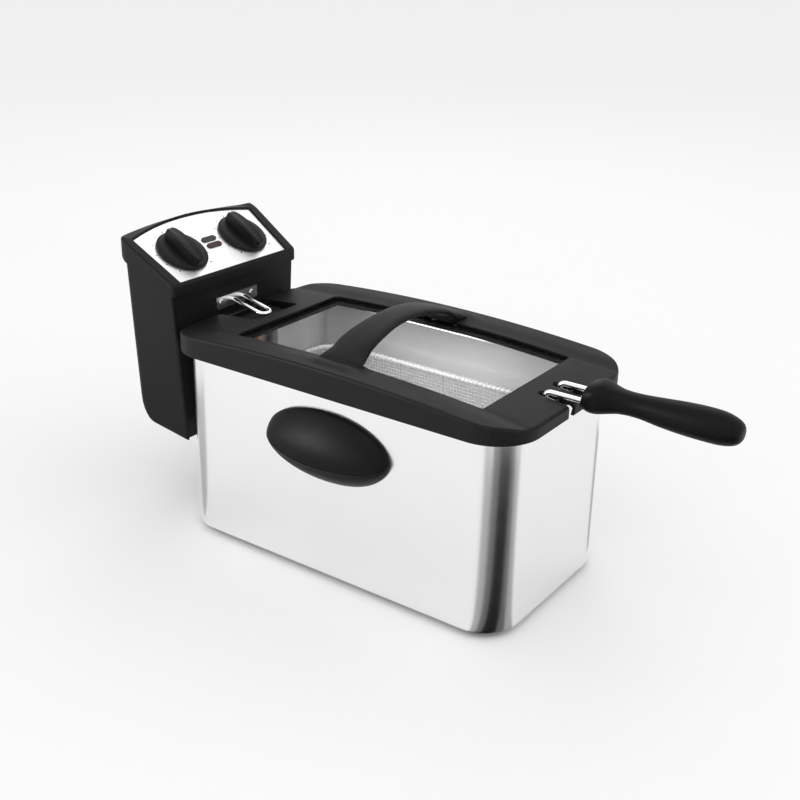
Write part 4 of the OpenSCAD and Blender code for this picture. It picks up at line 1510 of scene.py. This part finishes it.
    def inner_ring(self) -> None:
        """Forms the seat ring that centres the lid in the pot, under the top."""
        at = Extent.of("oil_pot")
        half_l, half_w = at.half.x - self.seat_gap, at.half.y - self.seat_gap
        outer, inner = (round_loop(half_l - d, half_w - d, self.seat_corner - d)
                        for d in (0.0, self.seat_wall))
        low = [[(x, y, at.hi.z) for x, y in loop] for loop in (outer, inner)]
        high = [[(x, y, self.crown(x) - self.seat_drop) for x, y in loop]
                for loop in (outer, inner)]
        rings = [low[0], high[0], high[1], low[1]]
        piece = form("lid_seat", *skin(rings, cyclic=True))
        self.hang(piece, "lid", "black_plastic")

    def handle(self) -> None:
        """Forms the arch across the lid, with feet that flow out into the rails."""
        at = Extent.of("lid_handle")
        top = at.hi.z
        crown = self.crown(self.arch_x)
        foot, foot_z = self.arch_outer
        outer = (foot**2 + (top - foot_z) ** 2) / (2 * (top - foot_z))
        toe, toe_z = self.arch_inner
        rise = self.arch_under - toe_z
        inner = (toe**2 + rise**2) / (2 * rise)
        rings: list[list[Point]] = []
        stations, sides = 96, 44
        for i in range(stations + 1):
            y = -self.arch_end * math.cos(math.pi * i / stations)
            across = abs(y)
            over = top - outer + math.sqrt(max(outer**2 - y * y, 0.0))
            under = self.arch_under - inner + math.sqrt(
                max(inner**2 - min(across, toe) ** 2, 0.0))
            under += (min(under, crown - 4.2) - under) * ease(across, 55, 69)
            over = max(over, crown - 2.6 + 1.8 * (1 - ease(across, 76, 86)))
            over -= 5.5 * ease(across, 76, 87)
            half = 13.7 + 3.3 * ease(across, 8, 62) + 4.0 * ease(across, 60, 84)
            mid, tall = (over + under) / 2, (over - under) / 2
            ring: list[Point] = []
            power = 2.6 - 0.3 * ease(across, 50, 80)
            for k in range(sides):
                a = 2 * math.pi * k / sides
                ca, sa = math.cos(a), math.sin(a)
                x = half * math.copysign(abs(ca) ** (2 / power), ca)
                z = tall * math.copysign(abs(sa) ** (2 / 2.6), sa)
                ring.append((self.arch_x + x, y, mid + z))
            rings.append(ring)
        piece = form("lid_arch", *skin(rings), crease=60)
        self.hang(piece, "lid", "black_plastic", ["lid_handle"])

    def build(self) -> None:
        """Forms and dresses the lid."""
        self.shell()
        self.inner_ring()
        self.handle()
        self.keep("glass", "window_pane")
        self.keep("black_plastic", "window_frame")
        self.keep("screw_steel", "lid_handle_screws", "window_screws")


# ---------------------------------------------------------------- studio


@dataclass(frozen=True)
class Lamp:
    """A soft light that looks at the fryer, or one that only gloss or only paint sees."""

    name: str
    place: Point
    size: tuple[float, float]
    power: float
    on_gloss: bool = True
    on_paint: bool = True

    def hang(self, target: Vector) -> None:
        """Puts the light up.

        Args:
            target: The point that it looks at, in metres.
        """
        data = bpy.data.lights.new(self.name, "AREA")
        data.shape = "RECTANGLE"
        data.size, data.size_y = self.size
        data.energy = self.power
        lamp = bpy.data.objects.new(self.name, data)
        bpy.context.scene.collection.objects.link(lamp)
        lamp.location = self.place
        lamp.rotation_euler = (target - Vector(self.place)).to_track_quat("-Z", "Y").to_euler()
        lamp.visible_camera = False
        lamp.visible_glossy = self.on_gloss
        lamp.visible_diffuse = self.on_paint


@dataclass(frozen=True)
class Shade:
    """A wedge on the floor: its way and half angle in degrees, and how light it is."""

    name: str
    tip: Flat
    way: float
    half: float
    tone: float
    behind: float
    level: float
    reach: float = 0.6


@dataclass
class Studio:
    """Pale floor, soft light, mirrored shades and the camera."""

    place: Point = (CENTRE_X + 0.5343, -0.7501, 0.5233)
    yaw: float = math.radians(-35.02)
    pitch: float = math.radians(22.84)
    roll: float = math.radians(1.21)
    lens: float = 52.68
    glow: float = 0.93
    target: Point = (0.0, 0.0, 0.12)
    floor_reach: float = 30.0

    def camera(self) -> None:
        """Sets up the camera."""
        ahead = Vector((math.sin(self.yaw) * math.cos(self.pitch),
                        math.cos(self.yaw) * math.cos(self.pitch), -math.sin(self.pitch)))
        level = Vector((math.cos(self.yaw), -math.sin(self.yaw), 0))
        upright = level.cross(ahead)
        c, s = math.cos(self.roll), math.sin(self.roll)
        right = level * c + upright * s
        up = upright * c - level * s
        data = bpy.data.cameras.new("camera")
        data.lens = self.lens
        data.sensor_width = 36.0
        data.clip_end = 100.0
        camera = bpy.data.objects.new("camera", data)
        bpy.context.scene.collection.objects.link(camera)
        turn = Matrix((right, up, -ahead)).transposed().to_4x4()
        camera.matrix_world = Matrix.Translation(Vector(self.place)) @ turn
        bpy.context.scene.camera = camera

    def floor(self) -> None:
        """Lays the floor as a wide shallow disc."""
        turn = [2 * math.pi * k / 64 for k in range(64)]
        rings = [[(r * math.cos(a) / MM, r * math.sin(a) / MM, z) for a in turn]
                 for r, z in ((self.floor_reach, -0.05), (self.floor_reach, -5.0))]
        piece = form("floor", *skin(rings))
        piece.data.materials.append(Ground("floor", (0.94, 0.94, 0.94)).make())

    def card(self, name: str, corners: Sequence[Point], tone: float) -> None:
        """Lays out a card that only reflections see.

        Args:
            name: Name of the card.
            corners: Its corners in order, in metres.
            tone: How light it is.
        """
        mesh = bpy.data.meshes.new(name)
        mesh.from_pydata([Vector(p) for p in corners], [], [tuple(range(len(corners)))])
        card = bpy.data.objects.new(name, mesh)
        bpy.context.scene.collection.objects.link(card)
        mesh.materials.append(Moulding(name, (tone,) * 3, 0.9, 0.0).make())
        card.visible_camera = False
        card.visible_diffuse = False
        card.visible_shadow = False

    def shades(self) -> None:
        """Lays wedges on the floor that the housing mirrors as soft dark bands."""
        at = Extent.of("outer_shell")
        near, front, left, rear = at.lo.y, at.hi.x, at.lo.x, at.hi.y
        bands = (Shade("band_dark", (front, near), -17.0, 15.0, 0.004, 35.0, 1.0, 0.5),
                 Shade("band_mid", (front, near), -20.0, 30.0, 0.12, 35.0, 0.8, 0.5),
                 Shade("band_soft", (front, near), -24.0, 48.0, 0.36, 35.0, 0.6, 0.45),
                 Shade("band_left", (left, near), -166.0, 26.0, 0.45, 0.0, 0.5, 0.35),
                 Shade("band_right", (front, rear), 101.0, 27.0, 0.38, 0.0, 0.4, 0.3))
        for band in bands:
            way, half = math.radians(band.way), math.radians(band.half)
            back = Vector((math.cos(way), math.sin(way), 0)) * band.behind * MM
            tip = metres((*band.tip, band.level)) - back
            arms = [tip + Vector((math.cos(a), math.sin(a), 0)) * band.reach
                    for a in (way - half, way + half)]
            self.card(band.name, [tuple(tip), *map(tuple, arms)], band.tone)

    def light(self) -> None:
        """Lights the set."""
        world = bpy.data.worlds.new("studio")
        world.use_nodes = True
        ambient = world.node_tree.nodes["Background"]
        ambient.inputs["Color"].default_value = (1.0, 1.0, 1.0, 1.0)
        ambient.inputs["Strength"].default_value = self.glow
        bpy.context.scene.world = world
        target = Vector(self.target)
        for lamp in (Lamp("key", (0.2, -1.3, 1.9), (1.2, 1.2), 4.0),
                     Lamp("fill", (1.6, 0.2, 1.4), (1.0, 1.0), 2.0),
                     Lamp("back", (-0.9, 1.3, 1.7), (1.0, 1.0), 3.0),
                     Lamp("rim", (-0.85, -1.05, 0.42), (0.4, 0.4), 9.0, on_paint=False)):
            lamp.hang(target)
        pane = Extent.of("window_pane")
        under = metres((pane.mid.x, 0, pane.lo.z - 4))
        Lamp("inside", tuple(under), (0.13, 0.11), 0.13, on_gloss=False).hang(
            under - Vector((0, 0, 1)))
        bpy.context.scene.view_settings.view_transform = "Standard"

    def build(self) -> None:
        """Builds the set."""
        self.camera()
        self.floor()
        self.light()
        self.shades()


def main() -> None:
    """Builds the studio and every assembly."""
    shop = Shop(FINISHES)
    Studio().build()
    for assembly in (Housing(shop), OilPot(shop), ControlHead(shop), Basket(shop), Lid(shop)):
        assembly.build()
        log.info("%s done", type(assembly).__name__)


if __name__ == "__main__":
    main()
